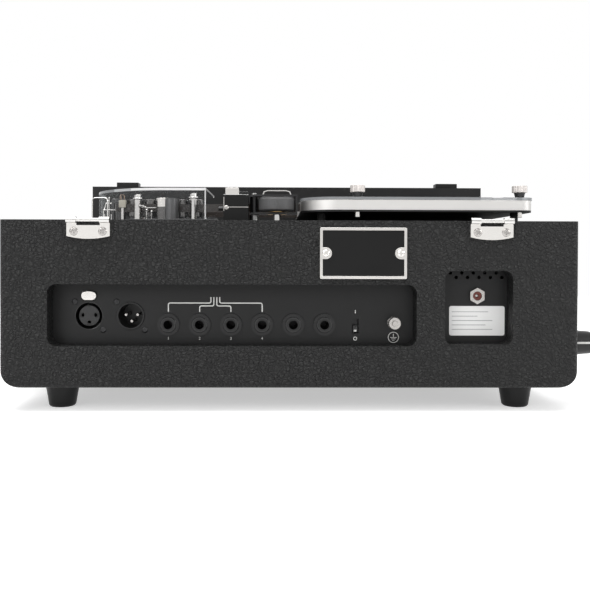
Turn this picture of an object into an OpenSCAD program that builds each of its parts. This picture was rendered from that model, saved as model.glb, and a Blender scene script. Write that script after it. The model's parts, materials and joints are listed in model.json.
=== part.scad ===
// Tape echo unit in a covered wooden case, seen with its lid taken off.
// The rear faces -Y, the player sits at +Y. All sizes are in millimetres.

/* [Case] */
// Width over the covered case
case_w = 412; // [400:1:460]
// Depth over the covered case
case_d = 300; // [294:1:340]
// Height from the underside of the case to its rim
case_h = 119.4; // [114:0.1:150]
// Thickness of the case walls
wall_t = 14.5; // [12:0.5:15]
// Thickness of the case bottom
bottom_t = 9; // [6:0.5:12]
// Radius of the upright edges
edge_r = 4; // [3:0.5:6]
// Radius of the lower edges along the sides
lower_r = 15.5; // [8:0.5:17]
// Radius of the lower edges at the rear and front
base_r = 4; // [3:0.5:6]
// Height of the case wall at the front
front_h = 56; // [46:1:64]
// Corner radius of the windows in the rear wall
window_r = 6; // [3:0.5:9]

/* [Feet] */
// Height of a rubber foot
foot_h = 17.4; // [12:0.1:24]
// Diameter of a foot where it meets the case
foot_top_d = 24; // [20:0.5:30]
// Diameter of a foot where it stands
foot_low_d = 19.5; // [15:0.5:20]
// Distance from the case sides to the middle of a foot
foot_in_x = 37.2; // [30:0.1:60]
// Distance from the case front and rear to the middle of a foot
foot_in_y = 28; // [26:0.5:60]

/* [Lid hardware] */
// Width of a hinge half
hinge_w = 30.4; // [26:0.2:36]
// Height of the hinge leaf below the rim
hinge_leaf_h = 13.6; // [12:0.1:18]
// Thickness of the hinge leaf
hinge_t = 1.6; // [1:0.1:2]
// Diameter of the hinge knuckles
knuckle_d = 4.6; // [4:0.1:5.4]
// Diameter of the hinge pin
hinge_pin_d = 2.8; // [2:0.1:3.2]
// Width of an end knuckle
knuckle_w = 7; // [5:0.5:8]
// Distance from the middle of the case to each hinge
hinge_x = 142.7; // [120:0.1:160]
// Distance from the middle of the case to each latch keeper
keeper_x = 120; // [90:1:150]

/* [Handle] */
// Length of the handle between its pivots
handle_len = 150; // [120:1:170]
// Distance the hanging handle stands out from the case
handle_proud = 20; // [17:0.5:26]
// Drop from the pivots to the middle of the grip
handle_drop = 32; // [28:1:40]
// Height of the pivots over the case underside
handle_up = 84; // [80:1:92]
// Diameter of the grip
grip_d = 14; // [12:0.5:16]

/* [Badge] */
// Width of the badge
badge_w = 61.8; // [50:0.1:80]
// Height of the badge
badge_h = 36.4; // [28:0.1:40]
// Width of the raised border
badge_border = 2; // [1.2:0.1:3]
// Place of the badge right of the middle
badge_x = 51.5; // [40:0.5:70]
// Distance from the rim to the middle of the badge
badge_down = 23.2; // [22:0.1:28]

/* [Rear panel] */
// Width of the window for the sockets
window_w = 261.6; // [255:0.2:268]
// Height of the windows for the sockets
window_h = 43.6; // [40:0.1:50]
// Place of the socket window left of the middle
window_x = -41.2; // [-44:0.1:-38]
// Height of the middle of the socket window over the case underside
window_up = 51.9; // [48:0.1:56]
// Thickness of the rear panels
panel_t = 2; // [1.5:0.1:3]
// Overlap of the rear panels behind the wall
panel_lap = 8; // [5:0.5:9]

/* [Sockets] */
// Height of the row of jacks under the middle of the window
jack_drop = 7.9; // [6:0.1:10]
// Distance between the jacks
jack_pitch = 22.7; // [20:0.1:24]
// Place of the first jack
jack_x = -88.6; // [-92:0.1:-84]
// Number of jacks
jack_count = 6; // [1:1:6]
// Bore of a jack
jack_bore_d = 6.5; // [6.4:0.05:6.8]
// Diameter of the flange of a jack
jack_flange_d = 16; // [14:0.1:18]
// Depth of the body of a jack behind the panel
jack_depth = 26; // [22:0.5:30]
// Place of the line input
xlr_in_x = -146; // [-150:0.5:-142]
// Place of the line output
xlr_out_x = -115.9; // [-118:0.1:-112]
// Diameter of the shells of the three-pole sockets
xlr_d = 20; // [19:0.1:21]
// Diameter of the cavity of the three-pole sockets
xlr_cavity_d = 17.6; // [17:0.1:18]
// Depth of the three-pole sockets
xlr_depth = 20; // [18:0.5:24]
// Side of the flange of the three-pole sockets
xlr_flange = 27; // [26:0.5:28]
// Radius of the circle of the poles
pole_r = 4.3; // [4:0.1:4.6]
// Diameter of the output poles
pole_d = 2.4; // [2:0.1:2.6]
// Place of the tape stop switch
switch_x = 47.4; // [46:0.1:50]
// Width of the switch slot
slot_w = 5; // [4.4:0.1:6]
// Length of the switch slot
slot_h = 10.4; // [9:0.1:12]
// Travel of the switch lever
switch_travel = 4.4; // [3:0.1:5]
// Place of the earth terminal
earth_x = 75.3; // [70:0.1:78]
// Diameter of the earth nut
earth_nut_d = 8.8; // [8:0.1:10]

/* [Power recess] */
// Width of the power window
power_w = 48.6; // [44:0.2:52]
// Height of the power window
power_h = 52.8; // [50:0.1:58]
// Place of the power window right of the middle
power_x = 134.2; // [130:0.1:140]
// Height of the middle of the power window over the case underside
power_up = 57.4; // [52:0.1:62]
// Height of the inlet over the middle of the power window
inlet_up = 8; // [6:0.1:10]
// Bore of the power inlet
inlet_bore_d = 6.4; // [6:0.1:7]
// Size of the inlet nut across its flats
inlet_nut = 10.6; // [10:0.1:11]
// Diameter of a vent hole
vent_d = 2.5; // [2:0.1:3]
// Distance between the vent holes in a row
vent_pitch = 8.4; // [7.6:0.1:8.8]

/* [Side knob] */
// Diameter of the speed knob on the side
side_knob_d = 18.6; // [16:0.1:21]
// Length of the speed knob
side_knob_len = 18.7; // [15:0.1:21]
// Distance from the rear to the middle of the speed knob
side_knob_y = 25; // [24:0.5:40]
// Height of the speed knob over the case underside
side_knob_up = 30.2; // [24:0.1:60]

/* [Deck] */
// Thickness of the deck plate
deck_t = 2; // [1.5:0.1:3]
// Distance from the rim down to the deck
deck_down = 1.5; // [1:0.1:4]
// Distance from the rear to the control housing
housing_y = 200; // [196:0.5:204]
// Gap between the deck parts and the case walls
fit_gap = 0.8; // [0.5:0.1:1.4]

/* [Tape bin] */
// Left end of the bin from the middle of the case
bin_left = 8; // [4:0.5:12]
// Right end of the bin from the middle of the case
bin_right = 180.6; // [172:0.1:184]
// Distance from the rear to the bin
bin_y = 22; // [20:0.5:24]
// Depth of the bin
bin_d = 166; // [160:1:170]
// Space under the bin
bin_gap = 9.1; // [8:0.1:12]
// Thickness of the bin floor
bin_floor_t = 1.4; // [1:0.1:2]
// Height of the bin wall
bin_wall_h = 7.4; // [7:0.1:9]
// Thickness of the bin wall
bin_wall_t = 7; // [6.5:0.1:8]
// Radius of the corner where the tape goes in
bin_entry_r = 27; // [22:1:28]
// Radius of the other corners
bin_corner_r = 8; // [7.5:0.5:12]
// Thickness of the clear cover
cover_t = 2.1; // [1.5:0.1:3]
// Diameter of the thumbscrew heads
thumb_d = 11.2; // [10:0.1:12]
// Height of the thumbscrew heads
thumb_h = 5; // [4:0.1:6]
// Height of the thumbscrew necks
thumb_neck = 3.6; // [3:0.1:5]
// Diameter of the thumbscrew shanks
thumb_shank_d = 3.8; // [3:0.1:4]

/* [Tape path] */
// Width of the tape
tape_w = 6.35; // [6.3:0.05:6.4]
// Thickness of the tape, drawn thick enough to see
tape_t = 0.3; // [0.2:0.05:0.4]
// Distance from the rear to the tape at the heads
head_line_y = 72; // [71:0.5:74]
// Place of the capstan from the middle
capstan_x = -10; // [-12:0.5:-9]
// Distance from the rear to the capstan
capstan_y = 62; // [61:0.5:64]
// Diameter of the capstan
capstan_d = 5; // [4:0.1:6]
// Diameter of the pinch roller
roller_d = 27.5; // [25:0.1:28]
// Height of the pinch roller
roller_h = 11.4; // [10:0.1:12]
// Distance the pinch roller travels to the tape
roller_travel = 2.8; // [2:0.1:3]
// Clearance between a shaft and its bearing
run_gap = 0.05; // [0.03:0.01:0.08]
// Gap left between parts that pass each other
pass_gap = 0.3; // [0.3:0.05:0.4]
// Number of folds of the tape in the bin
fold_count = 7; // [4:1:9]

/* [Drive] */
// Diameter of the flywheel
flywheel_d = 56; // [50:1:60]
// Thickness of the flywheel
flywheel_t = 12; // [10:0.5:14]
// Diameter of the motor
motor_d = 42; // [36:1:46]
// Height of the motor
motor_h = 36; // [30:1:36]
// Diameter of the motor pulley
pulley_d = 14; // [12:0.5:18]

/* [Heads] */
// Thickness of the head plate
head_plate_t = 4.5; // [3:0.1:6]
// Height of the head cover over the head plate
head_cover_h = 24.1; // [22:0.1:28]
// Thickness of the head cover
head_cover_t = 1.6; // [1.2:0.1:2]
// Radius of the round corner of the head cover
head_cover_r = 68; // [62:1:70]
// Distance between the playback heads
head_pitch = 12.5; // [12:0.1:13.5]

/* [Control housing] */
// Gap between the control housing and the side walls
housing_gap = 2.4; // [0.8:0.1:6]
// Height of the control housing over the rim
housing_up = 41.2; // [36:0.2:48]
// Depth of the flat top of the control housing
housing_top_d = 16; // [14:0.5:24]
// Thickness of the sheet of the control housing
sheet_t = 1.5; // [1:0.1:2]
// Distance the control face stands out of the sloped rim
face_proud = 5; // [3:0.1:8]
// Distance from the middle to each lid bumper
bumper_x = 155.5; // [140:0.5:170]
// Width of a lid bumper
bumper_w = 21; // [16:0.5:26]
// Height of a lid bumper
bumper_h = 4.2; // [3:0.1:6]

/* [Controls] */
// Diameter of a control knob
knob_d = 22; // [18:0.5:26]
// Height of a control knob
knob_h = 15; // [12:0.5:20]
// Distance between the control knobs
knob_pitch = 44; // [40:0.5:48]
// Diameter of the knob shafts
shaft_d = 6; // [5:0.1:6.5]
// Diameter of the skirt of the mode selector
selector_d = 36; // [30:0.5:40]
// Width of the level meter
meter_w = 58; // [50:0.5:64]
// Height of the level meter
meter_h = 44; // [38:0.5:50]
// Width of the power switch
rocker_w = 13; // [11:0.5:16]
// Height of the power switch
rocker_h = 19; // [17:0.5:24]

/* [Hidden] */

$fn = 48;
tiny = 0.01;
covering = "#2f302f";
satin_black = "#2b2b2b";
rubber_black = "#161616";
nickel = "#d9d7d2";
aluminium = "#dcd8d4";
clear_sheet = [0.85, 0.9, 0.92, 0.35];

// Heights and places that follow from the sizes above
rim_z = foot_h + case_h;
deck_z = rim_z - deck_down;
deck_low = deck_z - deck_t;
inner_w = case_w - 2 * wall_t;
inner_d = case_d - 2 * wall_t;
bottom_z = foot_h + bottom_t;
hinge_axis_out = knuckle_d / 2;
hinge_proud = knuckle_d;
keeper_proud = 5;
case_cx = (handle_proud - side_knob_len) / 2;
case_cy = (hinge_proud - keeper_proud) / 2;
function at_depth(d) = d - case_d / 2;

// Moves the case, built round its own middle, so that the origin is under the
// middle of everything, handle and knob included.
module placed() translate([case_cx, case_cy, 0]) children();

// A rectangle with round corners, centred.
module round_plate(w, h, r) {
    square([w - 2 * r, h], center = true);
    square([w, h - 2 * r], center = true);
    for (x = [-1, 1], y = [-1, 1])
        translate([x * (w / 2 - r), y * (h / 2 - r)]) circle(r);
}

// A rectangle standing on zero whose two lower corners are round.
module round_bottom(w, h, r) {
    translate([-w / 2, r]) square([w, h - r]);
    translate([r - w / 2, 0]) square([w - 2 * r, r + tiny]);
    for (x = [-1, 1]) translate([x * (w / 2 - r), r]) circle(r);
}

// Stands a flat outline up so that its front looks to the rear of the case,
// with its own x to the right, its y up and its thickness going into the case.
module facing_rear(x, depth, z)
    translate([x, at_depth(depth), z]) rotate([90, 0, 0]) mirror([0, 0, 1]) children();

// A tube or a disc along z with an inner diameter.
module ring(od, id, h) difference() {
    cylinder(d = od, h = h);
    translate([0, 0, -1]) cylinder(d = id, h = h + 2);
}

// A toothed outline, for knurls and ribbed grips.
module knurl(d, teeth, deep) polygon([for (i = [0 : 2 * teeth - 1])
    (d / 2 - (i % 2) * deep) * [cos(180 * i / teeth), sin(180 * i / teeth)]]);

// ---------------------------------------------------------------- the case

housing_w = inner_w - 2 * housing_gap;
housing_front_y = case_d - wall_t - fit_gap;
front_rim_z = foot_h + front_h;
face_top = [housing_y + housing_top_d, rim_z + housing_up];
slope = (face_top[1] - front_rim_z - face_proud) / (case_d - face_top[0]);
face_tilt = atan(slope);
face_low = [housing_front_y, face_top[1] - slope * (housing_front_y - face_top[0])];
rim_drop_y = case_d - (rim_z - front_rim_z) / slope;

// The side view of the case: level rim, then down along the control face.
module side_outline() intersection() {
    round_bottom(case_d, case_h, base_r);
    polygon([[-case_d, -1], [case_d, -1], [case_d, front_h - slope * case_d / 2], [case_d / 2, front_h],
        [at_depth(rim_drop_y), case_h], [-case_d, case_h]]);
}

module case_block() intersection() {
    translate([0, 0, foot_h]) linear_extrude(case_h) round_plate(case_w, case_d, edge_r);
    translate([0, case_d / 2 + 1, foot_h]) rotate([90, 0, 0])
        linear_extrude(case_d + 2) round_bottom(case_w, case_h + 1, lower_r);
    translate([-case_w / 2 - 1, 0, foot_h]) rotate([90, 0, 90])
        linear_extrude(case_w + 2) side_outline();
}

window_z = foot_h + window_up;
power_z = foot_h + power_up;
batten = 12;

module case_shell() color(covering) placed() {
    difference() {
        case_block();
        translate([0, 0, bottom_z]) linear_extrude(case_h) round_plate(inner_w, inner_d, 2);
        facing_rear(window_x, -1, window_z)
            linear_extrude(wall_t + 2) round_plate(window_w, window_h, window_r);
        facing_rear(power_x, -1, power_z)
            linear_extrude(wall_t + 2) round_plate(power_w, power_h, window_r);
        translate([case_w / 2 - wall_t - 1, at_depth(side_knob_y), foot_h + side_knob_up])
            rotate([0, 90, 0]) cylinder(d = shaft_d + 2 * run_gap, h = wall_t + 2);
    }
    for (s = [-1, 1])
        translate([s * (inner_w - batten) / 2, at_depth((wall_t + housing_y) / 2), deck_low - batten / 2])
            cube([batten + 2 * tiny, housing_y - wall_t - 2, batten], center = true);
}

module rubber_feet() color(rubber_black) placed()
    for (x = [-1, 1], y = [-1, 1])
        translate([x * (case_w / 2 - foot_in_x), y * (case_d / 2 - foot_in_y), 0])
            rotate_extrude() polygon([[3.5, 2.5], [6.5, 2.5], [6.5, 0], [foot_low_d / 2 - 1.2, 0],
                [foot_low_d / 2, 1.2], [foot_top_d / 2, foot_h - 2.6], [foot_top_d / 2 - 0.6, foot_h],
                [3.5, foot_h]]);

// ------------------------------------------------------------ lid hardware

hinge_axis_z = rim_z - 0.3;
hinge_arc_r = 60;
hinge_screw_in = 5.1;
hinge_screw_z = rim_z - 8.6;
trim_screw_d = 6.2;

// The leaf hangs below the rim and ends in a shallow arc.
module hinge_leaf() intersection() {
    translate([-hinge_w / 2, rim_z - hinge_leaf_h]) square([hinge_w, hinge_leaf_h - 0.6]);
    translate([0, rim_z - hinge_leaf_h + hinge_arc_r]) circle(hinge_arc_r, $fn = 160);
}

module hinge_half() {
    facing_rear(0, -hinge_t, 0) linear_extrude(hinge_t) difference() {
        hinge_leaf();
        translate([-hinge_w / 2 + knuckle_w, rim_z - 4])
            square([hinge_w - 2 * knuckle_w, knuckle_d]);
    }
    for (s = [-1, 1]) translate([s * (hinge_w - knuckle_w) / 2, at_depth(-hinge_axis_out), hinge_axis_z])
        rotate([0, 90, 0]) cylinder(d = knuckle_d, h = knuckle_w, center = true);
    translate([0, at_depth(-hinge_axis_out), hinge_axis_z])
        rotate([0, 90, 0]) cylinder(d = hinge_pin_d, h = hinge_w - knuckle_w, center = true);
}

module hinge_halves() color(nickel) placed()
    for (s = [-1, 1]) translate([s * hinge_x, 0, 0]) hinge_half();

keeper_t = 1.2;
keeper_side = 24;
keeper_down = 22;
keeper_lip_w = 16;
keeper_hole_in = 8.6;
keeper_hole_d = 3.4;

// A plate with a lip that the catch of the lid hooks under.
module latch_keepers() color(nickel) placed()
    for (s = [-1, 1]) translate([s * keeper_x, case_d / 2, foot_h + front_h - keeper_down]) {
        rotate([90, 0, 180]) linear_extrude(keeper_t) difference() {
            round_plate(keeper_side, keeper_side, 3);
            for (x = [-1, 1], y = [-1, 1]) translate([x, y] * keeper_hole_in) circle(d = keeper_hole_d);
        }
        rotate([0, 90, 0]) linear_extrude(keeper_lip_w, center = true) polygon([
            [-2, 0], [-2, keeper_proud],
            [-7, keeper_proud], [-7, keeper_proud - keeper_t], [-2 - keeper_t, keeper_proud - keeper_t],
            [-2 - keeper_t, 0]]);
    }

// ------------------------------------------------------------------ handle

handle_z = foot_h + handle_up;
handle_axis_out = 9;
handle_axis_x = -case_w / 2 - handle_axis_out;
handle_arm_d = 9;
handle_pin_d = 5;

module carry_handle() color(rubber_black) placed() translate([handle_axis_x, 0, handle_z]) {
    for (s = [-1, 1]) {
        difference() {
            translate([0, s * (handle_len / 2 - handle_arm_d / 2), 0]) rotate([90, 0, 0])
                cylinder(d = handle_arm_d + 3, h = handle_arm_d, center = true);
            translate([0, s * handle_len / 2, 0]) rotate([90, 0, 0])
                cylinder(d = handle_pin_d + 2 * run_gap, h = 3 * handle_arm_d, center = true);
        }
        difference() {
            translate([-4, s * (handle_len / 2 - handle_arm_d / 2) - handle_arm_d / 2, -handle_drop])
                cube([8, handle_arm_d, handle_drop]);
            translate([0, s * handle_len / 2, 0]) rotate([90, 0, 0])
                cylinder(d = handle_arm_d + 2, h = 3 * handle_arm_d, center = true);
        }
    }
    translate([handle_axis_out + grip_d / 2 - handle_proud, 0, -handle_drop])
        rotate([90, 0, 0]) cylinder(d = grip_d, h = handle_len, center = true);
}

bracket_t = 1.6;
bracket_w = 24;
bracket_h = 28;
ear_t = 4.8;
ear_gap = 0.4;

// A plate on the case with an ear and the pin that the handle turns on.
module handle_brackets() color(nickel) placed() for (s = [-1, 1]) {
    translate([-case_w / 2, s * (handle_len / 2 + 8), handle_z]) rotate([0, -90, 0])
        linear_extrude(bracket_t) difference() {
            round_plate(bracket_h, bracket_w, 4);
            for (up = [-1, 1]) translate([up * (bracket_h / 2 - 5), s * 5]) circle(d = 4.2);
        }
    translate([handle_axis_x, s * (handle_len / 2 + ear_gap + ear_t / 2), handle_z]) {
        rotate([90, 0, 0]) cylinder(d = 16, h = ear_t, center = true);
        translate([0, -ear_t / 2, -8]) cube([handle_axis_out - bracket_t + tiny, ear_t, 16]);
    }
    translate([handle_axis_x, s * (handle_len / 2 - 1.4), handle_z]) rotate([90, 0, 0])
        cylinder(d = handle_pin_d, h = handle_arm_d + 4, center = true);
}

// ------------------------------------------------------------------- badge

badge_z = rim_z - badge_down;
badge_t = 1.4;
badge_boss_d = 8.4;
badge_screw_in = 4.3;
badge_screw_d = 5.4;

module badge_plate() color(nickel) placed() facing_rear(badge_x, 0, badge_z) mirror([0, 0, 1]) {
    difference() {
        linear_extrude(badge_t) round_plate(badge_w, badge_h, 1);
        translate([0, 0, badge_t / 2]) linear_extrude(badge_t) difference() {
            square([badge_w - 2 * badge_border, badge_h - 2 * badge_border], center = true);
            for (s = [-1, 1]) translate([s * (badge_w / 2 - badge_screw_in), 0]) {
                circle(d = badge_boss_d);
                translate([s * 2, 0]) square([4, badge_boss_d], center = true);
            }
        }
    }
}

// A countersunk or domed head with a cross slot, looking at -Y.
module trim_screw(d) rotate([90, 0, 0]) difference() {
    intersection() {
        cylinder(d = d, h = 1.1);
        translate([0, 0, 1.1 - d]) sphere(d = 2 * d);
    }
    for (a = [0, 90]) rotate(a) translate([0, 0, 0.9]) cube([d * 0.55, 0.8, 0.8], center = true);
}

xlr_screw_x = 10.2;
xlr_screw_z = 10.2;
xlr_screw_d = 4.6;
xlr_flange_t = 1.2;
xlr_lip = 0.8;
socket_drop = 1.6;
window_mid_z = window_z - socket_drop;

module trim_screws() color(nickel) placed() {
    for (h = [-1, 1], s = [-1, 1])
        translate([h * hinge_x + s * (hinge_w / 2 - hinge_screw_in), at_depth(-hinge_t), hinge_screw_z])
            trim_screw(trim_screw_d);
    for (s = [-1, 1])
        translate([badge_x + s * (badge_w / 2 - badge_screw_in), at_depth(-badge_t), badge_z])
            trim_screw(badge_screw_d);
    for (x = [xlr_in_x, xlr_out_x], s = [-1, 1])
        translate([x + s * xlr_screw_x, at_depth(wall_t), window_mid_z - s * xlr_screw_z])
            trim_screw(xlr_screw_d);
}

// -------------------------------------------------------------- rear panel

jack_z = window_z - jack_drop;
function jack_at(i) = jack_x + i * jack_pitch;
jack_thread_d = 9.4;
panel_hole_gap = 0.2;

module rear_panel() color(satin_black) placed() facing_rear(window_x, wall_t, window_z) difference() {
    linear_extrude(panel_t) round_plate(window_w + 2 * panel_lap, window_h + 2 * panel_lap, 3);
    for (i = [0 : jack_count - 1]) translate([jack_at(i) - window_x, -jack_drop, -1])
        cylinder(d = jack_thread_d + panel_hole_gap, h = panel_t + 2);
    translate([xlr_in_x - window_x, window_mid_z - window_z, -1])
        cylinder(d = xlr_in_cavity_d, h = panel_t + 2);
    translate([xlr_out_x - window_x, window_mid_z - window_z, -1])
        cylinder(d = xlr_d + panel_hole_gap, h = panel_t + 2);
    translate([xlr_in_x - window_x, tab_z - window_z, -1])
        linear_extrude(panel_t + 2) tab_outline(tab_gap);
    translate([switch_x - window_x - slot_w / 2, -switch_drop - slot_h / 2, -1])
        cube([slot_w, slot_h, panel_t + 2]);
    translate([earth_x - window_x, -earth_drop, -1])
        cylinder(d = earth_stud_d + panel_hole_gap, h = panel_t + 2);
}

// Three poles: two beside the middle and one below it.
module at_poles() for (a = [6, 174, 270]) rotate(a) translate([pole_r, 0, 0]) children();

xlr_in_cavity_d = 19.4;
pole_gap = 0.4;
xlr_insert_d = 14.9;
tab_w = 10.8;
tab_h = 6.6;
tab_gap = 0.4;
tab_z = window_mid_z + xlr_in_cavity_d / 2 + tab_h / 2 + 1.7;

// A push tab with a round top and a foot drawn in on both sides.
module tab_outline(grow) intersection() {
    round_plate(tab_w + 2 * grow, tab_h + 2 * grow, 3.2 + grow);
    translate([0, -8]) circle(11.3 + grow);
}

// The flange that holds a three-pole socket to the back of the panel.
module xlr_flange_plate() translate([0, 0, panel_t]) linear_extrude(xlr_flange_t) difference() {
    translate([0, 1.5]) round_plate(xlr_flange, xlr_flange + 3, 4);
    children();
}

module xlr_shell(cavity_d) translate([0, 0, panel_t + xlr_flange_t]) difference() {
    cylinder(d = cavity_d + 2.8, h = xlr_depth);
    translate([0, 0, -1]) cylinder(d = cavity_d, h = xlr_depth - 2);
    children();
}

module xlr_input_socket() color(satin_black) placed() facing_rear(xlr_in_x, wall_t, window_mid_z) {
    $fn = 32;
    xlr_flange_plate() {
        circle(d = xlr_in_cavity_d);
        translate([0, tab_z - window_mid_z]) tab_outline(tab_gap);
    }
    xlr_shell(xlr_in_cavity_d);
    difference() {
        translate([0, 0, 1]) cylinder(d = xlr_insert_d, h = xlr_depth + panel_t - 1);
        translate([0, 0, -1]) at_poles() cylinder(d = pole_d + pole_gap, h = xlr_depth - 2, $fn = 12);
    }
}

module xlr_release_tab() color(nickel) placed() facing_rear(xlr_in_x, wall_t - 1.6, tab_z)
    linear_extrude(1.6 + panel_t) tab_outline(0);

module xlr_output_socket() color(satin_black) placed() facing_rear(xlr_out_x, wall_t, window_mid_z) {
    xlr_flange_plate() circle(d = xlr_cavity_d);
    translate([0, 0, -xlr_lip]) ring(xlr_d, xlr_cavity_d, xlr_lip + panel_t);
    xlr_shell(xlr_cavity_d) at_poles() cylinder(d = pole_d, h = xlr_depth + 1);
}

module xlr_output_poles() color(nickel) placed()
    facing_rear(xlr_out_x, wall_t, window_mid_z) translate([0, 0, 4]) at_poles()
        cylinder(d = pole_d, h = xlr_depth + 2);

module jack_socket() {
    translate([0, 0, -1.2]) ring(jack_flange_d, jack_bore_d, 1.2);
    translate([0, 0, -2.6]) ring(jack_thread_d + 0.6, jack_bore_d, 1.4);
    ring(jack_thread_d, jack_bore_d, panel_t);
    translate([0, 0, panel_t]) difference() {
        linear_extrude(jack_depth) round_plate(15, 15, 1);
        translate([0, 0, -1]) cylinder(d = jack_bore_d, h = jack_depth - 1);
    }
}

module jack_sockets() color(satin_black) placed()
    for (i = [0 : jack_count - 1]) facing_rear(jack_at(i), wall_t, jack_z) jack_socket();

switch_drop = 8.9;
switch_z = window_z - switch_drop;
lever_w = 3.4;
lever_h = 4.4;

module stop_switch_body() color(satin_black) placed() facing_rear(switch_x, wall_t + panel_t, switch_z)
    difference() {
        linear_extrude(9) square([12, slot_h + 6], center = true);
        translate([0, 0, -1]) linear_extrude(4) square([lever_w + 1, slot_h], center = true);
    }

module stop_switch_lever() color("#e4e2dc") placed()
    facing_rear(switch_x, wall_t + 0.4, switch_z - switch_travel / 2)
        linear_extrude(panel_t + 1.6) square([lever_w, lever_h], center = true);

earth_drop = 6.3;
earth_z = window_z - earth_drop;
earth_stud_d = 4;

module earth_stud() color(nickel) placed() facing_rear(earth_x, wall_t, earth_z) {
    translate([0, 0, -9]) cylinder(d = earth_stud_d, h = 9 + panel_t + 6);
    translate([0, 0, -1]) ring(earth_nut_d, earth_stud_d, 1);
    translate([0, 0, panel_t]) linear_extrude(3) difference() {
        circle(d = 8, $fn = 6);
        circle(d = earth_stud_d);
    }
}

module earth_nut() color(nickel) placed() facing_rear(earth_x, wall_t - 7.5, earth_z) difference() {
    linear_extrude(6.2) knurl(earth_nut_d, 20, 0.3);
    translate([0, 0, -1]) cylinder(d = earth_stud_d + 2 * run_gap, h = 9);
}

// ------------------------------------------------------------ power recess

vent_rows = [24.7, 21.4];
vent_count = 5;

module power_panel() color(satin_black) placed() facing_rear(power_x, wall_t, power_z) difference() {
    linear_extrude(panel_t) round_plate(power_w + 2 * panel_lap, power_h + 2 * panel_lap, 3);
    for (row = [0, 1], i = [0 : vent_count - 1])
        translate([(i - (vent_count - 1) / 2 - 0.06 + row / 2) * vent_pitch, vent_rows[row], -1])
            cylinder(d = vent_d, h = panel_t + 2);
    translate([2, inlet_up, -1]) cylinder(d = inlet_bore_d + 1.8 + panel_hole_gap, h = panel_t + 2);
}

module power_inlet() color(nickel) placed() facing_rear(power_x + 2, wall_t, power_z + inlet_up) {
    difference() {
        union() {
            translate([0, 0, -2.4]) linear_extrude(2.4)
                rotate(30) circle(d = inlet_nut / cos(30), $fn = 6);
            cylinder(d = inlet_bore_d + 1.8, h = panel_t);
            translate([0, 0, panel_t]) cylinder(d = 12, h = 12);
        }
        translate([0, 0, -3]) cylinder(d = inlet_bore_d, h = 14);
    }
    translate([0, 0, 0.5]) cylinder(d = 2.1, h = 11);
}

module speed_knob() color(rubber_black) placed()
    translate([case_w / 2, at_depth(side_knob_y), foot_h + side_knob_up]) rotate([0, 90, 0]) {
        difference() {
            rotate_extrude() polygon(concat([[0, 1.2], [side_knob_d / 2, 1.2], [side_knob_d / 2, 4],
                [side_knob_d / 2 - 0.9, side_knob_len - 2.6]],
                [for (a = [15 : 15 : 75]) [side_knob_d / 2 - 0.9 - 2.6 + 2.6 * cos(a),
                    side_knob_len - 2.6 + 2.6 * sin(a)]], [[side_knob_d / 2 - 3.5, side_knob_len],
                [0, side_knob_len]]));
            translate([-side_knob_d / 2, 0, 5 + side_knob_len])
                cube([2, 1, 2 * side_knob_len], center = true);
        }
        translate([0, 0, -wall_t - 6]) cylinder(d = shaft_d, h = wall_t + 8);
    }

// -------------------------------------------------------------------- deck

bearing_d = 16;
motor_boss_d = 11.6;
seat_gap = 0.1;
deck_front_y = housing_y - 0.5;
deck_rear_y = wall_t + fit_gap;
post_d = 5.4;
post_places = [[169.4, 34], [24, 44], [169.4, 178], [24, 178]];
deck_screw_d = 3;

module deck_plate() color(satin_black) placed() difference() {
    translate([-inner_w / 2 + fit_gap, at_depth(deck_rear_y), deck_low])
        cube([inner_w - 2 * fit_gap, deck_front_y - deck_rear_y, deck_t]);
    translate([capstan_x, at_depth(capstan_y), deck_low - 1])
        cylinder(d = bearing_d + seat_gap, h = deck_t + 2);
    translate([motor_x, at_depth(motor_y), deck_low - 1])
        cylinder(d = motor_boss_d + seat_gap, h = deck_t + 2);
    for (p = post_places) translate([p[0], at_depth(p[1]), deck_low - 1])
        cylinder(d = deck_screw_d + seat_gap, h = deck_t + 2);
}

// ---------------------------------------------------------------- tape bin

bin_z = deck_z + bin_gap;
bin_floor_z = bin_z + bin_floor_t;
bin_top_z = bin_floor_z + bin_wall_h;
bin_w = bin_right - bin_left;
entry_y = [54, 66];
exit_y = [142, 156];
thumb_in = bin_wall_t / 2;
thumb_right_in = 9.8;
thumb_left_in = 41.9;
thumb_places = [[bin_right - thumb_right_in, bin_y + thumb_in], [bin_left + thumb_left_in, bin_y + thumb_in],
    [bin_left + bin_w / 2, bin_y + bin_d - thumb_in]];
thumb_hole_d = thumb_shank_d + 2 * pass_gap;

// What is left of a square corner when it is rounded.
module corner_waste(r) difference() {
    translate([-1, -1]) square(r + 1);
    translate([r, r]) circle(r);
}

// The outline of the bin, drawn in by a given distance all round.
module bin_outline(inset) translate([bin_left + inset, at_depth(bin_y) + inset]) difference() {
    w = bin_w - 2 * inset;
    d = bin_d - 2 * inset;
    r = bin_corner_r - inset;
    square([w, d]);
    corner_waste(bin_entry_r - inset);
    translate([w, 0]) mirror([1, 0]) corner_waste(r);
    translate([w, d]) mirror([1, 0]) mirror([0, 1]) corner_waste(r);
    translate([0, d]) mirror([0, 1]) corner_waste(r);
}

module thumb_holes() for (p = thumb_places)
    translate([p[0], at_depth(p[1]), bin_z - 1]) cylinder(d = thumb_hole_d, h = 30);

module bin_floor() color(satin_black) placed() difference() {
    translate([0, 0, bin_z]) linear_extrude(bin_floor_t) bin_outline(0);
    thumb_holes();
}

module bin_wall() color(aluminium) placed() difference() {
    translate([0, 0, bin_floor_z]) linear_extrude(bin_wall_h) difference() {
        bin_outline(0);
        bin_outline(bin_wall_t);
        for (g = [entry_y, exit_y]) translate([bin_left - 1, at_depth(g[0])])
            square([bin_entry_r, g[1] - g[0]]);
    }
    thumb_holes();
}

cover_notch_x = bin_right - 27;
notch_d = 9;

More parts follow.
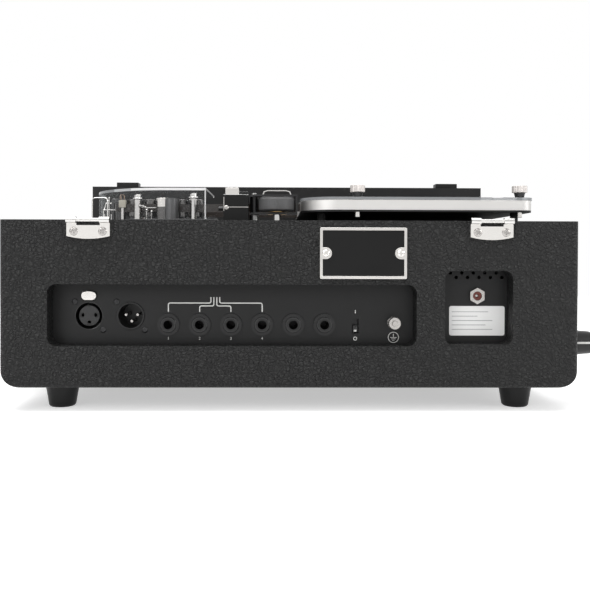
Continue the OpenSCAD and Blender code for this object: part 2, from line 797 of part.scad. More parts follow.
module bin_cover() color(clear_sheet) placed() difference() {
    translate([0, 0, bin_top_z + 0.05]) linear_extrude(cover_t) difference() {
        bin_outline(-0.6);
        translate([cover_notch_x, at_depth(bin_y) - 0.6]) circle(d = notch_d);
    }
    thumb_holes();
}

cover_top_z = bin_top_z + 0.05 + cover_t;

module thumbscrew(i) translate([thumb_places[i][0], at_depth(thumb_places[i][1]), cover_top_z + 0.1]) {
    translate([0, 0, thumb_neck]) linear_extrude(thumb_h) knurl(thumb_d, 24, 0.35);
    rotate_extrude() polygon([[0, 0], [3.2, 0], [4.2, thumb_neck], [0, thumb_neck]]);
    translate([0, 0, bin_z - cover_top_z - 4]) cylinder(d = thumb_shank_d, h = cover_top_z - bin_z + 4);
}

module thumbscrew_right() color(aluminium) placed() thumbscrew(0);
module thumbscrew_left() color(aluminium) placed() thumbscrew(1);
module thumbscrew_front() color(aluminium) placed() thumbscrew(2);

module bin_posts() color(satin_black) placed() for (p = post_places)
    translate([p[0], at_depth(p[1]), 0]) {
        translate([0, 0, deck_z]) cylinder(d = post_d / cos(30), h = bin_gap, $fn = 6);
        translate([0, 0, deck_low - 3]) cylinder(d = deck_screw_d, h = deck_t + 3 + 1);
    }

// --------------------------------------------------------------- tape path

tape_mid_z = bin_floor_z + bin_wall_h / 2;
corner_post_d = 8;
wrap = tape_t / 2 + pass_gap;
guide_x = -136;
guide_front_y = 143;
guide_roller_d = 16;
corner_post_y = head_line_y + corner_post_d / 2 + wrap;
nip_y = capstan_y - capstan_d / 2 - wrap;
tape_left_x = guide_x - corner_post_d / 2 - wrap;
guide_roller_x = tape_left_x + guide_roller_d / 2 + wrap;
tape_front_y = guide_front_y + guide_roller_d / 2 + wrap;
fold_x0 = bin_left + 34;
fold_x1 = bin_right - 22;
fold_mid_y = bin_y + bin_d * 0.43;
fold_deep = bin_d * 0.3;
bin_lane_y = bin_y + bin_d - bin_wall_t - 8;

function arc_points(c, r, a0, a1, n) = [for (i = [0 : n]) c + r * [cos(a0 + (a1 - a0) * i / n),
    sin(a0 + (a1 - a0) * i / n)]];

// The middle line of the tape, as [x, distance from the rear], from the bin's
// way out round the corner posts, past the heads and the capstan and back in.
fold_steps = 10 * fold_count;
tape_line = concat(
    [[fold_x1 + 8, bin_lane_y], [fold_x0, bin_lane_y], [bin_left + 16, tape_front_y + 3]],
    arc_points([guide_roller_x, guide_front_y], guide_roller_d / 2 + wrap, 90, 180, 6),
    arc_points([guide_x, corner_post_y], corner_post_d / 2 + wrap, 180, 270, 6),
    [[-70, head_line_y], [capstan_x, nip_y], [bin_left + 3, nip_y]],
    [for (i = [0 : fold_steps]) [fold_x0 + (fold_x1 - fold_x0) * i / fold_steps,
        fold_mid_y - fold_deep * cos(360 * i / 20) * min(1, 0.3 + i / 20)]],
    arc_points([fold_x1, (fold_mid_y + bin_lane_y) / 2 + 14], 8, -80, 80, 4));

function side_step(p, q) = [p[1] - q[1], q[0] - p[0]] / norm(q - p);
function edge_points(line, off) = [for (i = [0 : len(line) - 1])
    let (a = line[max(i - 1, 0)], b = line[min(i + 1, len(line) - 1)])
        line[i] + off * side_step(a, b)];
function reversed(v) = [for (i = [len(v) - 1 : -1 : 0]) v[i]];

module tape_loop() color("#4a3527") placed() translate([0, at_depth(0), tape_mid_z - tape_w / 2])
    linear_extrude(tape_w) polygon(concat(edge_points(tape_line, tape_t / 2),
        reversed(edge_points(tape_line, -tape_t / 2))));

// ------------------------------------------------------------------- drive

drive_drop = 51.3;
flywheel_z = deck_z - drive_drop;
motor_x = -92;
motor_y = 118;
bearing_low = flywheel_z + flywheel_t + 3;
capstan_top = 17;

module capstan() color(nickel) placed() translate([capstan_x, at_depth(capstan_y), 0]) {
    translate([0, 0, flywheel_z]) rotate_extrude() polygon([[0, 0], [flywheel_d / 2, 0],
        [flywheel_d / 2, 3], [flywheel_d / 2 - 1.5, 3], [flywheel_d / 2 - 1.5, flywheel_t - 3],
        [flywheel_d / 2, flywheel_t - 3], [flywheel_d / 2, flywheel_t], [0, flywheel_t]]);
    translate([0, 0, flywheel_z]) cylinder(d = capstan_d, h = deck_z + capstan_top + 5 - flywheel_z);
}

module capstan_bearing() color("#b8923a") placed()
    translate([capstan_x, at_depth(capstan_y), bearing_low])
    difference() {
        union() {
            cylinder(d = bearing_d, h = deck_z + 2.5 - bearing_low);
            translate([0, 0, deck_low - bearing_low - 3]) cylinder(d = bearing_d + 8, h = 3);
        }
        translate([0, 0, -1]) cylinder(d = capstan_d + 2 * run_gap, h = case_h);
    }

motor_low = deck_low - motor_h;
pulley_h = min(flywheel_t, motor_low - flywheel_z - 3);

module drive_motor() color("#9a9a98") placed() translate([motor_x, at_depth(motor_y), motor_low])
    difference() {
        union() {
            cylinder(d = motor_d, h = motor_h);
            translate([0, 0, motor_h]) cylinder(d = motor_boss_d, h = deck_t);
            translate([0, 0, -2]) cylinder(d = motor_boss_d, h = 2);
        }
        translate([0, 0, -3]) cylinder(d = 3 + 2 * run_gap, h = 15);
    }

module motor_pulley() color("#c8a24a") placed() translate([motor_x, at_depth(motor_y), flywheel_z]) {
    rotate_extrude() polygon([[0, 0], [pulley_d / 2, 0], [pulley_d / 2, 2], [pulley_d / 2 - 1.5, 3],
        [pulley_d / 2 - 1.5, pulley_h - 3], [pulley_d / 2, pulley_h - 2], [pulley_d / 2, pulley_h],
        [0, pulley_h]]);
    cylinder(d = 3, h = motor_low + 10 - flywheel_z);
}

// A flat belt round the flywheel and the pulley: two arcs joined by their
// outer tangents, drawn with a small gap to both.
belt_t = 0.8;
belt_gap = 0.3;
belt_h = 4;

module belt_outline(grow) {
    r1 = flywheel_d / 2 - 1.5 + belt_gap + grow;
    r2 = pulley_d / 2 - 1.5 + belt_gap + grow;
    c1 = [capstan_x, at_depth(capstan_y)];
    c2 = [motor_x, at_depth(motor_y)];
    lead = atan2(c2[1] - c1[1], c2[0] - c1[0]);
    lean = acos((r1 - r2) / norm(c2 - c1));
    polygon(concat(arc_points(c1, r1, lead + lean, lead + 360 - lean, 24),
        arc_points(c2, r2, lead - lean, lead + lean, 10)));
}

module drive_belt() color(rubber_black) placed()
    translate([0, 0, flywheel_z + (pulley_h - belt_h) / 2]) linear_extrude(belt_h) difference() {
        belt_outline(belt_t);
        belt_outline(0);
    }

// ------------------------------------------------------------ pinch roller

roller_x = capstan_x;
roller_rest_y = capstan_y - capstan_d / 2 - roller_d / 2 - tape_t - 2 * pass_gap - roller_travel;
roller_low = tape_mid_z - roller_h / 2 + 1;
arm_plate_t = 1.4;
arm_low_z = roller_low - 0.4 - arm_plate_t;
arm_high_z = roller_low + roller_h + 0.4;
roller_pin_d = 5.6;
pivot_x = -27.5;
pivot_y = 47;
pivot_d = 3.6;
pivot_tube_d = 6.4;
yoke_right = roller_x + roller_d / 2 + 0.6;
yoke_deep = 10;
yoke_end_t = 1.2;
clip_w = 22;
clip_h = 3.4;

// One plate of the yoke: a bar over the roller with an eye at the pivot.
module yoke_plate() difference() {
    union() {
        translate([pivot_x, at_depth(roller_rest_y) - yoke_deep / 2])
            square([yoke_right + yoke_end_t - pivot_x, yoke_deep]);
        translate([pivot_x, at_depth(pivot_y)]) circle(d = pivot_tube_d);
        translate([pivot_x - pivot_tube_d / 2, at_depth(roller_rest_y)])
            square([pivot_tube_d, pivot_y - roller_rest_y]);
    }
    translate([pivot_x, at_depth(pivot_y)]) circle(d = pivot_d + 2 * run_gap);
}

// The bowed spring clip over the end of the roller pin.
module roller_clip() translate([roller_x, at_depth(roller_rest_y) + 3, arm_high_z + arm_plate_t])
    rotate([90, 0, 0]) linear_extrude(6) difference() {
        polygon([[-clip_w / 2, 0], [-clip_w / 2 + 1, clip_h * 0.75], [-clip_w / 2 + 4, clip_h],
            [clip_w / 2 - 4, clip_h], [clip_w / 2 - 1, clip_h * 0.75], [clip_w / 2, 0]]);
        translate([0, -tiny]) polygon([[-clip_w / 2 + 0.8, 0], [-clip_w / 2 + 1.7, clip_h * 0.6],
            [-clip_w / 2 + 4.2, clip_h - 0.7], [clip_w / 2 - 4.2, clip_h - 0.7],
            [clip_w / 2 - 1.7, clip_h * 0.6], [clip_w / 2 - 0.8, 0]]);
    }

module pinch_arm() color("#6f6f6d") placed() {
    for (z = [arm_low_z, arm_high_z]) translate([0, 0, z]) linear_extrude(arm_plate_t) yoke_plate();
    translate([yoke_right, at_depth(roller_rest_y) - yoke_deep / 2, arm_low_z])
        cube([yoke_end_t, yoke_deep, arm_high_z - arm_low_z + arm_plate_t]);
    translate([roller_x, at_depth(roller_rest_y), arm_low_z - 5])
        cylinder(d = roller_pin_d, h = arm_high_z - arm_low_z + 5 + arm_plate_t);
    translate([pivot_x, at_depth(pivot_y), arm_low_z])
        ring(pivot_tube_d, pivot_d + 2 * run_gap, arm_high_z - arm_low_z + arm_plate_t);
    roller_clip();
}

module pinch_roller() color("#3c3c3c") placed() translate([roller_x, at_depth(roller_rest_y), roller_low])
    ring(roller_d, roller_pin_d + 2 * run_gap, roller_h);

solenoid_x = -41;
solenoid_w = 19;
solenoid_d = 15;
solenoid_y = 42;
solenoid_h = 21;
plunger_d = 7;
plunger_z = deck_z + 12;

module solenoid() color(rubber_black) placed() {
    difference() {
        translate([solenoid_x - solenoid_w / 2, at_depth(solenoid_y) - solenoid_d / 2, deck_z])
            cube([solenoid_w, solenoid_d, solenoid_h]);
        translate([solenoid_x, at_depth(solenoid_y), plunger_z]) rotate([0, 90, 0])
            cylinder(d = plunger_d + 2 * pass_gap, h = 2 * solenoid_w, center = true);
    }
    translate([solenoid_x - solenoid_w / 2, at_depth(solenoid_y) - solenoid_d / 2, deck_z + solenoid_h])
        cube([solenoid_w, solenoid_d, arm_plate_t]);
    translate([solenoid_x - solenoid_w / 2 + 1.5, at_depth(solenoid_y) - 4,
            deck_z + solenoid_h + arm_plate_t])
        cube([10, 8, 5.4]);
    translate([solenoid_x - solenoid_w / 2 + 11.5, at_depth(solenoid_y) - 3,
            deck_z + solenoid_h + arm_plate_t])
        cube([7, 6, 2.6]);
    translate([pivot_x, at_depth(pivot_y), deck_z]) {
        cylinder(d = pivot_d, h = arm_high_z - deck_z + arm_plate_t + 1.5);
        cylinder(d = pivot_tube_d + 1, h = arm_low_z - deck_z - 0.3);
    }
}

module solenoid_plunger() color(nickel) placed()
    translate([solenoid_x - solenoid_w / 2 + 2, at_depth(solenoid_y), plunger_z]) rotate([0, 90, 0]) {
        cylinder(d = plunger_d, h = solenoid_w - 3.5);
        translate([0, 0, -6]) cylinder(d = 3, h = 7);
    }

// ------------------------------------------------------------------- heads

head_plate_z = deck_z + head_plate_t;
head_can_w = 10.6;
head_can_d = 13;
head_can_h = 14;
head_low = tape_mid_z - head_can_h / 2;
head_face_y = head_line_y + wrap;
record_x = -100;

cover_foot = [8, 7, 1.6];

module head_plate() color("#a8a8a6") placed() translate([0, 0, deck_z]) difference() {
    linear_extrude(head_plate_t) union() {
        head_cover_outline(-1.5);
        translate([head_cover_right - 1, at_depth(head_cover_y) - 1.5])
            square([cover_foot[0] + 2, cover_foot[1] + 3]);
    }
    for (p = post_spots) translate([p[0], at_depth(p[1]), 1])
        cylinder(d = post_foot_d + seat_gap, h = 10);
}

// A head: a can on a foot, with a round nose that meets the tape.
module head_can(x) translate([x, at_depth(head_face_y), head_low]) {
    difference() {
        union() {
            translate([-head_can_w / 2, 3, 0]) cube([head_can_w, head_can_d - 3, head_can_h]);
            translate([0, 8, 0]) cylinder(r = 8, h = head_can_h);
        }
        translate([head_can_w / 2, -1, -1]) cube([20, 30, 30]);
        translate([-20 - head_can_w / 2, -1, -1]) cube([20, 30, 30]);
        translate([-20, head_can_d, -1]) cube([40, 20, 30]);
    }
    translate([-head_can_w / 2 + 1, 4, head_plate_z - head_low])
        cube([head_can_w - 2, head_can_d - 5, head_low - head_plate_z]);
}

module erase_head() color("#b9b4aa") placed() head_can(record_x - 2 * head_pitch);
module record_head() color(nickel) placed() head_can(record_x - head_pitch);
module playback_heads() color(nickel) placed() for (i = [0 : 2]) head_can(record_x + i * head_pitch);

post_d_thin = 5.3;
post_foot_d = 4;
pass_post_y = head_line_y - wrap - post_d_thin / 2;
column = [-144.2, 88];
column_d = 3.6;
column_h = 18.6;
post_spots = [[-121, pass_post_y], [-76.6, pass_post_y], [guide_x, corner_post_y]];

module guide_post(p, d, top) translate([p[0], at_depth(p[1]), deck_z + 1]) {
    cylinder(d = post_foot_d, h = head_plate_t);
    translate([0, 0, head_plate_t - 1]) cylinder(d = d, h = top - deck_z - head_plate_t);
    translate([0, 0, top - deck_z - 4.4]) cylinder(d = d + 2.4, h = 1.2);
}

module guide_posts() color(nickel) placed() {
    guide_post(post_spots[0], post_d_thin, tape_mid_z + 10);
    guide_post(post_spots[1], post_d_thin, tape_mid_z + 11);
    guide_post(post_spots[2], corner_post_d, tape_mid_z + 7.4);
    translate([guide_roller_x, at_depth(guide_front_y), deck_z])
        cylinder(d = guide_roller_d, h = tape_mid_z + 5 - deck_z);
    translate([record_x, at_depth(head_line_y - wrap - 5.5), head_plate_z])
        cylinder(d = 11, h = tape_mid_z + 7.4 - head_plate_z);
    translate([tension_x, at_depth(tension_y), head_plate_z])
        cylinder(d = tension_pin_d, h = tension_boss_h + pass_gap);
    translate([column[0], at_depth(column[1]), head_plate_z]) {
        cylinder(d = column_d, h = column_h - column_d / 2);
        translate([0, 0, column_h - column_d / 2]) sphere(d = column_d);
    }
}

tension_x = -146;
tension_y = 104;
tension_pin_d = 3;
tension_boss_h = 6;
wire_d = 1.3;
bend_grow = 0.16;

// A straight piece of the wire with round ends.
module wire(p, q) {
    v = q - p;
    for (e = [p, q]) translate(e) sphere(d = wire_d + bend_grow);
    translate(p) rotate([0, acos(v[2] / norm(v)), atan2(v[1], v[0])])
        cylinder(d = wire_d, h = norm(v));
}

module tension_arm() color(nickel) placed()
    translate([tension_x, at_depth(tension_y), head_plate_z + pass_gap]) {
        ring(8, tension_pin_d + 2 * run_gap, tension_boss_h);
        wire([2.8, 0, tension_boss_h - 1], [2.8, 0, 15]);
        wire([2.8, 0, 15], [-8, 0, 15]);
        wire([-8, 0, 15], [-9.6, 0, 9]);
    }

head_cover_y = 50;
head_cover_right = -65;
head_cover_end_y = 128;
head_cover_bend_x = head_cover_right - 28.5;

// Seen from above: straight behind the heads, then round to the left.
module head_cover_outline(inset) {
    back = at_depth(head_cover_y);
    front = at_depth(head_cover_end_y);
    grow = min(inset, 0);
    translate([head_cover_bend_x, back + inset])
        square([head_cover_right - head_cover_bend_x - grow, front - back - inset - grow]);
    translate([head_cover_bend_x, back + head_cover_r]) intersection() {
        circle(head_cover_r - inset, $fn = 120);
        translate([-head_cover_r - 5, -head_cover_r - 5])
            square([head_cover_r + 5 + tiny, front - back + 5 - grow]);
    }
}

module head_cover() color(clear_sheet) placed() translate([0, 0, head_plate_z]) {
    difference() {
        linear_extrude(head_cover_h) head_cover_outline(0);
        translate([0, 0, -1]) linear_extrude(head_cover_h - head_cover_t + 1)
            head_cover_outline(head_cover_t);
        translate([head_cover_bend_x - 100, at_depth(head_cover_end_y) - 1, -1])
            cube([200, 3, head_cover_h - head_cover_t + 1]);
    }
    translate([head_cover_right, at_depth(head_cover_y), 0]) {
        cube(cover_foot);
        translate([cover_foot[0] - 3.6, cover_foot[1] / 2, cover_foot[2]])
            cylinder(d1 = 5, d2 = 3.6, h = 1.2);
    }
}

// --------------------------------------------------------- control housing

housing_low = bottom_z;
housing_top_z = rim_z + housing_up;

// Side view of the housing, drawn in by the sheet's thickness when hollow.
module housing_outline(t) polygon([
    [housing_y + t, housing_low - (t > 0 ? 1 : 0)],
    [housing_y + t, housing_top_z - t],
    [face_top[0] - t * (1 / sin(face_tilt) - 1 / tan(face_tilt)), housing_top_z - t],
    [housing_front_y - t, face_low[1] - t / cos(face_tilt) + t * slope],
    [housing_front_y - t, housing_low - (t > 0 ? 1 : 0)]]);

module along_x(w) rotate([90, 0, 90]) linear_extrude(w, center = true) children();

// Puts children on the control face: x across, y down the slope, z out of it.
module on_face(x, down) translate([x, at_depth(face_top[0]), face_top[1]])
    rotate([-face_tilt, 0, 0]) translate([0, down, 0]) children();

upper_row = 36;
lower_in = 46.2;
lower_row = (case_d - face_top[0]) / cos(face_tilt) - lower_in;
control_x = 58;
knob_places = [for (row = [upper_row, lower_row], i = [0 : 2]) [control_x - i * knob_pitch, row]];
selector_place = [-106, (upper_row + lower_row) / 2];
meter_place = [132, upper_row + 14];
rocker_in = 44;
rocker_place = [rocker_in - case_w / 2, lower_row];

module control_housing() color(satin_black) placed() difference() {
    translate([0, at_depth(0), 0]) along_x(housing_w) housing_outline(0);
    translate([0, at_depth(0), 0]) along_x(housing_w - 2 * sheet_t) housing_outline(sheet_t);
    for (p = concat(knob_places, [selector_place])) on_face(p[0], p[1])
        cylinder(d = shaft_d + 2 * run_gap, h = 10, center = true);
    on_face(meter_place[0], meter_place[1]) cube([meter_w - 4, meter_h - 4, 10], center = true);
    on_face(rocker_place[0], rocker_place[1]) translate([0, 0, -5]) linear_extrude(10)
        square(rocker_hole + 2 * [rocker_wall + seat_gap, rocker_wall + seat_gap], center = true);
}

bumper_d = 12;

module lid_bumpers() color(rubber_black) placed() for (s = [-1, 1])
    translate([s * bumper_x - bumper_w / 2, at_depth(housing_y) + 1, housing_top_z])
        cube([bumper_w, bumper_d, bumper_h]);

module meter_body() color(rubber_black) placed() on_face(meter_place[0], meter_place[1]) {
    difference() {
        union() {
            linear_extrude(5) round_plate(meter_w, meter_h, 3);
            translate([0, 0, -12]) linear_extrude(12 + tiny)
                square([meter_w - 5, meter_h - 5], center = true);
        }
        translate([0, -3, 1]) linear_extrude(10) square([meter_w - 8, meter_h - 16], center = true);
    }
    translate([0, needle_down, 1]) cylinder(d = needle_pin_d, h = 2.2);
}

needle_len = 20;
needle_pin_d = 1;
needle_down = 8;

module meter_needle() color("#c03020") placed() on_face(meter_place[0], meter_place[1] + needle_down)
    translate([0, 0, 2]) rotate(40) difference() {
        union() {
            translate([-0.3, -needle_len, 0]) cube([0.6, needle_len, 0.5]);
            cylinder(d = 3, h = 0.5);
        }
        translate([0, 0, -1]) cylinder(d = needle_pin_d + 2 * run_gap, h = 3);
    }

// A ribbed knob with a skirt and a pointer line cut in its cap.
module knob(d, h) {
    difference() {
        union() {
            translate([0, 0, 0.6]) cylinder(d1 = d + 3, d2 = d + 1, h = 3);
            translate([0, 0, 3]) linear_extrude(h - 3) knurl(d, 24, 0.6);
        }
        translate([-0.5, -d, h - 0.6]) cube([1, d, 2]);
    }
    translate([0, 0, -9]) cylinder(d = shaft_d, h = 11);
}

module control_knob(i) on_face(knob_places[i][0], knob_places[i][1]) knob(knob_d, knob_h);

module input_knob() color(rubber_black) placed() control_knob(0);
module echo_knob() color(rubber_black) placed() control_knob(1);
module reverb_knob() color(rubber_black) placed() control_knob(2);
module bass_knob() color(rubber_black) placed() control_knob(3);
module treble_knob() color(rubber_black) placed() control_knob(4);
module repeat_knob() color(rubber_black) placed() control_knob(5);

module mode_selector() color(rubber_black) placed() on_face(selector_place[0], selector_place[1]) {
    translate([0, 0, 0.6]) cylinder(d1 = selector_d, d2 = selector_d - 3, h = 3);
    translate([0, 0, 3]) linear_extrude(14) round_plate(9, selector_d - 6, 4);
    translate([0, 0, -9]) cylinder(d = shaft_d, h = 11);
}

rocker_wall = 1.6;
rocker_side_gap = 0.9;
rocker_pin_d = 2.4;
rocker_pin_down = 1;
rocker_hole = [rocker_w + 2 * pass_gap, rocker_h + 2 * rocker_side_gap];

// The moulded frame that snaps into the housing and holds the rocker's pins.
module power_switch_frame() color(rubber_black) placed() on_face(rocker_place[0], rocker_place[1])
    difference() {
        union() {
            linear_extrude(1.4) round_plate(rocker_hole[0] + 6, rocker_hole[1] + 6, 2);
            translate([0, 0, -8]) linear_extrude(8 + tiny)
                square(rocker_hole + 2 * [rocker_wall, rocker_wall], center = true);
        }
        translate([0, 0, -9]) linear_extrude(12) square(rocker_hole, center = true);
        translate([0, 0, -rocker_pin_down]) rotate([0, 90, 0])
            cylinder(d = rocker_pin_d + 2 * run_gap, h = rocker_hole[0] + 2 * rocker_wall - 1,
                center = true);
    }

// The rocker: two faces that meet over its pins.
module power_switch() color(rubber_black) placed() on_face(rocker_place[0], rocker_place[1]) {
    rotate([0, 90, 0]) linear_extrude(rocker_w, center = true) rotate(90) polygon([
        [-rocker_h / 2, -1], [-3, -5], [3, -5], [rocker_h / 2, -1], [rocker_h / 2, 3.4], [0, 2.4],
        [-rocker_h / 2, 3.4]]);
    translate([0, 0, -rocker_pin_down]) rotate([0, 90, 0])
        cylinder(d = rocker_pin_d, h = rocker_hole[0] + 2 * rocker_wall - 1.4, center = true);
}

board = [250, 90, 1.6];
board_up = 8;
board_x = -110;
board_in = 60;
board_post_in = 8;

module circuit_board() color("#1d5a35") placed() translate([board_x, at_depth(board_in), bottom_z]) {
    translate([0, 0, board_up]) cube(board);
    for (x = [board_post_in, board[0] - board_post_in], y = [board_post_in, board[1] - board_post_in])
        translate([x, y, 0]) cylinder(d = 6, h = board_up);
}

case_shell();
rubber_feet();
hinge_halves();
latch_keepers();
carry_handle();
handle_brackets();
badge_plate();
trim_screws();
rear_panel();
xlr_input_socket();
xlr_release_tab();
xlr_output_socket();
xlr_output_poles();
jack_sockets();
stop_switch_body();
stop_switch_lever();
earth_stud();
earth_nut();
power_panel();
power_inlet();
speed_knob();
deck_plate();
bin_floor();
bin_wall();
bin_cover();
thumbscrew_right();
thumbscrew_left();
thumbscrew_front();
bin_posts();
tape_loop();
capstan();
capstan_bearing();
drive_motor();
motor_pulley();
drive_belt();
pinch_arm();
pinch_roller();
solenoid();
solenoid_plunger();
head_plate();
erase_head();
record_head();
playback_heads();
guide_posts();
tension_arm();
head_cover();
control_housing();
lid_bumpers();
meter_body();
meter_needle();
mode_selector();
input_knob();
echo_knob();
reverb_knob();
bass_knob();
treble_knob();
repeat_knob();
power_switch_frame();
power_switch();
circuit_board();
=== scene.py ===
import bpy, bmesh, json, math, random
from mathutils import Matrix, Vector

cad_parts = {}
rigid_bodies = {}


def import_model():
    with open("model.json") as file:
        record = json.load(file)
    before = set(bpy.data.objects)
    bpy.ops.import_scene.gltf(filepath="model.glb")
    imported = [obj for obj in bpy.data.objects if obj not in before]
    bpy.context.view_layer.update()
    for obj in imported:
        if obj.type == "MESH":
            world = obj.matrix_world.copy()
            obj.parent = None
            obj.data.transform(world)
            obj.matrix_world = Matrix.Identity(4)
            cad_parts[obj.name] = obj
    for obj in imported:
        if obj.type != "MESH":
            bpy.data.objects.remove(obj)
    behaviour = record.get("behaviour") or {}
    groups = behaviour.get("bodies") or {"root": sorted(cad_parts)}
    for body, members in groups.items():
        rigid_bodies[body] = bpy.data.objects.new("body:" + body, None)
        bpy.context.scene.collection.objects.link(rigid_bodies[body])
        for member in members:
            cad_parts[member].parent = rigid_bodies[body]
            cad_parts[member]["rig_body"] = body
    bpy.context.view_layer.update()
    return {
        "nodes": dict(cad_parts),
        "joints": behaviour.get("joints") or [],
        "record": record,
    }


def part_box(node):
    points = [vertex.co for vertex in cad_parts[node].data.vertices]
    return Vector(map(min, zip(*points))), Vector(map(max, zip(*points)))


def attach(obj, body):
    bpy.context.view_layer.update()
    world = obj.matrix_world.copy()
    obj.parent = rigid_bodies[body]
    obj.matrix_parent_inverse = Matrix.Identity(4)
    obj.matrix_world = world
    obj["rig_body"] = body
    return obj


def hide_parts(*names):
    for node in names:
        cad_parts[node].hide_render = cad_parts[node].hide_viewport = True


# A tape echo unit on a plain pale floor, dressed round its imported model.
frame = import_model()
nodes = frame["nodes"]
joints = {j["name"]: j for j in frame["joints"]}
mounts = {m["name"]: m for m in frame["record"]["mounts"]}
chassis = "chassis"
mm = 0.001


# Shader writing.

class Wire:
    # One value in a node tree. Arithmetic on it adds Math nodes.
    def __init__(self, tree, socket):
        self.tree, self.socket = tree, socket

    def math(self, operation, first, second):
        node = self.tree.nodes.new("ShaderNodeMath")
        node.operation = operation
        feed(first, node.inputs[0], self.tree)
        feed(second, node.inputs[1], self.tree)
        return Wire(self.tree, node.outputs[0])

    def __add__(self, other):
        return self.math("ADD", self, other)

    def __radd__(self, other):
        return self.math("ADD", other, self)

    def __sub__(self, other):
        return self.math("SUBTRACT", self, other)

    def __rsub__(self, other):
        return self.math("SUBTRACT", other, self)

    def __mul__(self, other):
        return self.math("MULTIPLY", self, other)

    def __rmul__(self, other):
        return self.math("MULTIPLY", other, self)

    def __truediv__(self, other):
        return self.math("DIVIDE", self, other)

    def __rtruediv__(self, other):
        return self.math("DIVIDE", other, self)

    def __pow__(self, other):
        return self.math("POWER", self, other)


def feed(value, socket, tree):
    # Gives a socket a wire or a plain value.
    if isinstance(value, Wire):
        tree.links.new(value.socket, socket)
    elif value is not None:
        socket.default_value = value


def setStops(elements, stops):
    # Gives a colour ramp its (position, colour) stops.
    while len(elements) < len(stops):
        elements.new(1.0)
    for element, (position, shade) in zip(elements, stops):
        element.position = position
        element.color = (*shade, 1)


class Nodes:
    # A node tree that is filled through add().
    family = "ShaderNode"

    def __init__(self, tree):
        self.tree = tree
        tree.nodes.clear()

    def add(self, kind, settings=None, inputs=None, out=0):
        node = self.tree.nodes.new(self.family + kind)
        for key, value in (settings or {}).items():
            if key == "stops":
                setStops(node.color_ramp.elements, value)
            else:
                setattr(node, key, value)
        for key, value in (inputs or {}).items():
            feed(value, node.inputs[key], self.tree)
        return Wire(self.tree, node.outputs[out] if node.outputs else None)


class Finish(Nodes):
    # A material under construction.
    def __init__(self, name):
        self.material = bpy.data.materials.new(name)
        self.material.use_nodes = True
        super().__init__(self.material.node_tree)
        self.place = self.add("TexCoord", out="Object")

    def scaled(self, x, y, z):
        return self.add("Mapping", inputs={"Vector": self.place, "Scale": (x, y, z)})

    def noise(self, scale, detail=3.0, vector=None):
        return self.add("TexNoise", inputs={"Vector": vector or self.place, "Scale": scale,
                                            "Detail": detail, "Roughness": 0.55})

    def cells(self, scale, feature, vector):
        return self.add("TexVoronoi", {"feature": feature}, {"Vector": vector, "Scale": scale},
                        "Distance")

    def ramp(self, value, *stops):
        return self.add("ValToRGB", {"stops": stops}, {"Fac": value})

    def mix(self, factor, tone, dark):
        # From a tone to that tone times dark.
        return self.add("Mix", {"data_type": "RGBA"},
                        {0: factor, 6: (*tone, 1), 7: (*[c * dark for c in tone], 1)}, 2)

    def bump(self, height, distance):
        return self.add("Bump", inputs={"Height": height, "Distance": distance, "Strength": 1.0})

    def done(self, surface):
        self.add("OutputMaterial", inputs={"Surface": surface})
        return self.material

    def coat(self, **inputs):
        named = {key.replace("_", " "): value for key, value in inputs.items()}
        return self.done(self.add("BsdfPrincipled", inputs=named))


# Finishes.

def vinylCovering():
    # Pebbled leathercloth: uneven cells drawn out into creases, shinier on top. Its colour holds
    # painted light: lighter on the raised pebbles as painted highlights, darker down in the
    # creases as painted shade.
    grain = {"pebbles": 440, "creases": 352, "small": 900, "worn": 9, "swirl": 190,
             "wander": 0.0042, "deep": 0.0012, "stretch": (0.95, 0.95, 1.05),
             "pebbleRise": 0.6, "creaseRise": 0.5, "smallRise": 0.3}
    f = Finish("covering")
    swirl = f.add("TexNoise", inputs={"Vector": f.place, "Scale": grain["swirl"], "Detail": 3},
                  out="Color")
    drift = f.add("VectorMath", {"operation": "SCALE"}, {0: swirl, "Scale": grain["wander"]})
    bent = f.add("VectorMath", {"operation": "ADD"}, {0: f.scaled(*grain["stretch"]), 1: drift})
    pebble = f.cells(grain["pebbles"], "F1", bent)
    creases = f.cells(grain["creases"], "DISTANCE_TO_EDGE", bent)
    ridge = f.ramp(creases, (0.0, (0, 0, 0)), (0.22, (1, 1, 1)))
    height = ((1 - pebble) * grain["pebbleRise"] + ridge * grain["creaseRise"]
              + f.noise(grain["small"]) * grain["smallRise"])
    worn = f.noise(grain["worn"], 4)
    # Painted highlight on the pebble tops and painted shade in the creases, both from the bump
    # height, with the worn patches on top.
    tone = f.ramp(height * 0.62 + worn * 0.12, (0.42, (0.001, 0.001, 0.0012)),
                  (0.68, (0.006, 0.0062, 0.006)), (0.86, (0.034, 0.0345, 0.034)))
    return f.coat(Base_Color=tone, Roughness=0.52 - height * 0.12 + worn * 0.1,
                  Specular_IOR_Level=0.3, Normal=f.bump(height, grain["deep"]))


# How fine the unevenness of each kind of finish is: larger is finer.
uneven = {"cloud": 22, "smear": 45, "metal": 1800, "dust": 160, "ink": 2600, "coat": 70,
          "coatFine": 2200}


def softBlack(name, tone, rough, grain, deep, shine):
    f = Finish(name)
    speck, cloud = f.noise(grain, 2), f.noise(uneven["cloud"])
    colour = f.ramp(cloud * 0.6 + speck * 0.4, (0.3, (tone * 0.8,) * 3),
                    (0.75, (tone * 1.25, tone * 1.25, tone * 1.28)))
    return f.coat(Base_Color=colour, Roughness=rough - 0.08 + cloud * 0.16,
                  Specular_IOR_Level=shine, Normal=f.bump(speck, deep))


def brightMetal(name, tone, rough, lines=None, deep=0.000015):
    # With lines, the fine grain is drawn out along an axis.
    f = Finish(name)
    smear = f.noise(uneven["smear"], 4)
    fine = f.noise(uneven["metal"], 2, f.scaled(*lines) if lines else None)
    return f.coat(Base_Color=f.mix(smear * 0.5, tone, 0.86), Metallic=1.0,
                  Roughness=rough + (smear - 0.5) * 0.1 + fine * 0.05, Normal=f.bump(fine, deep))


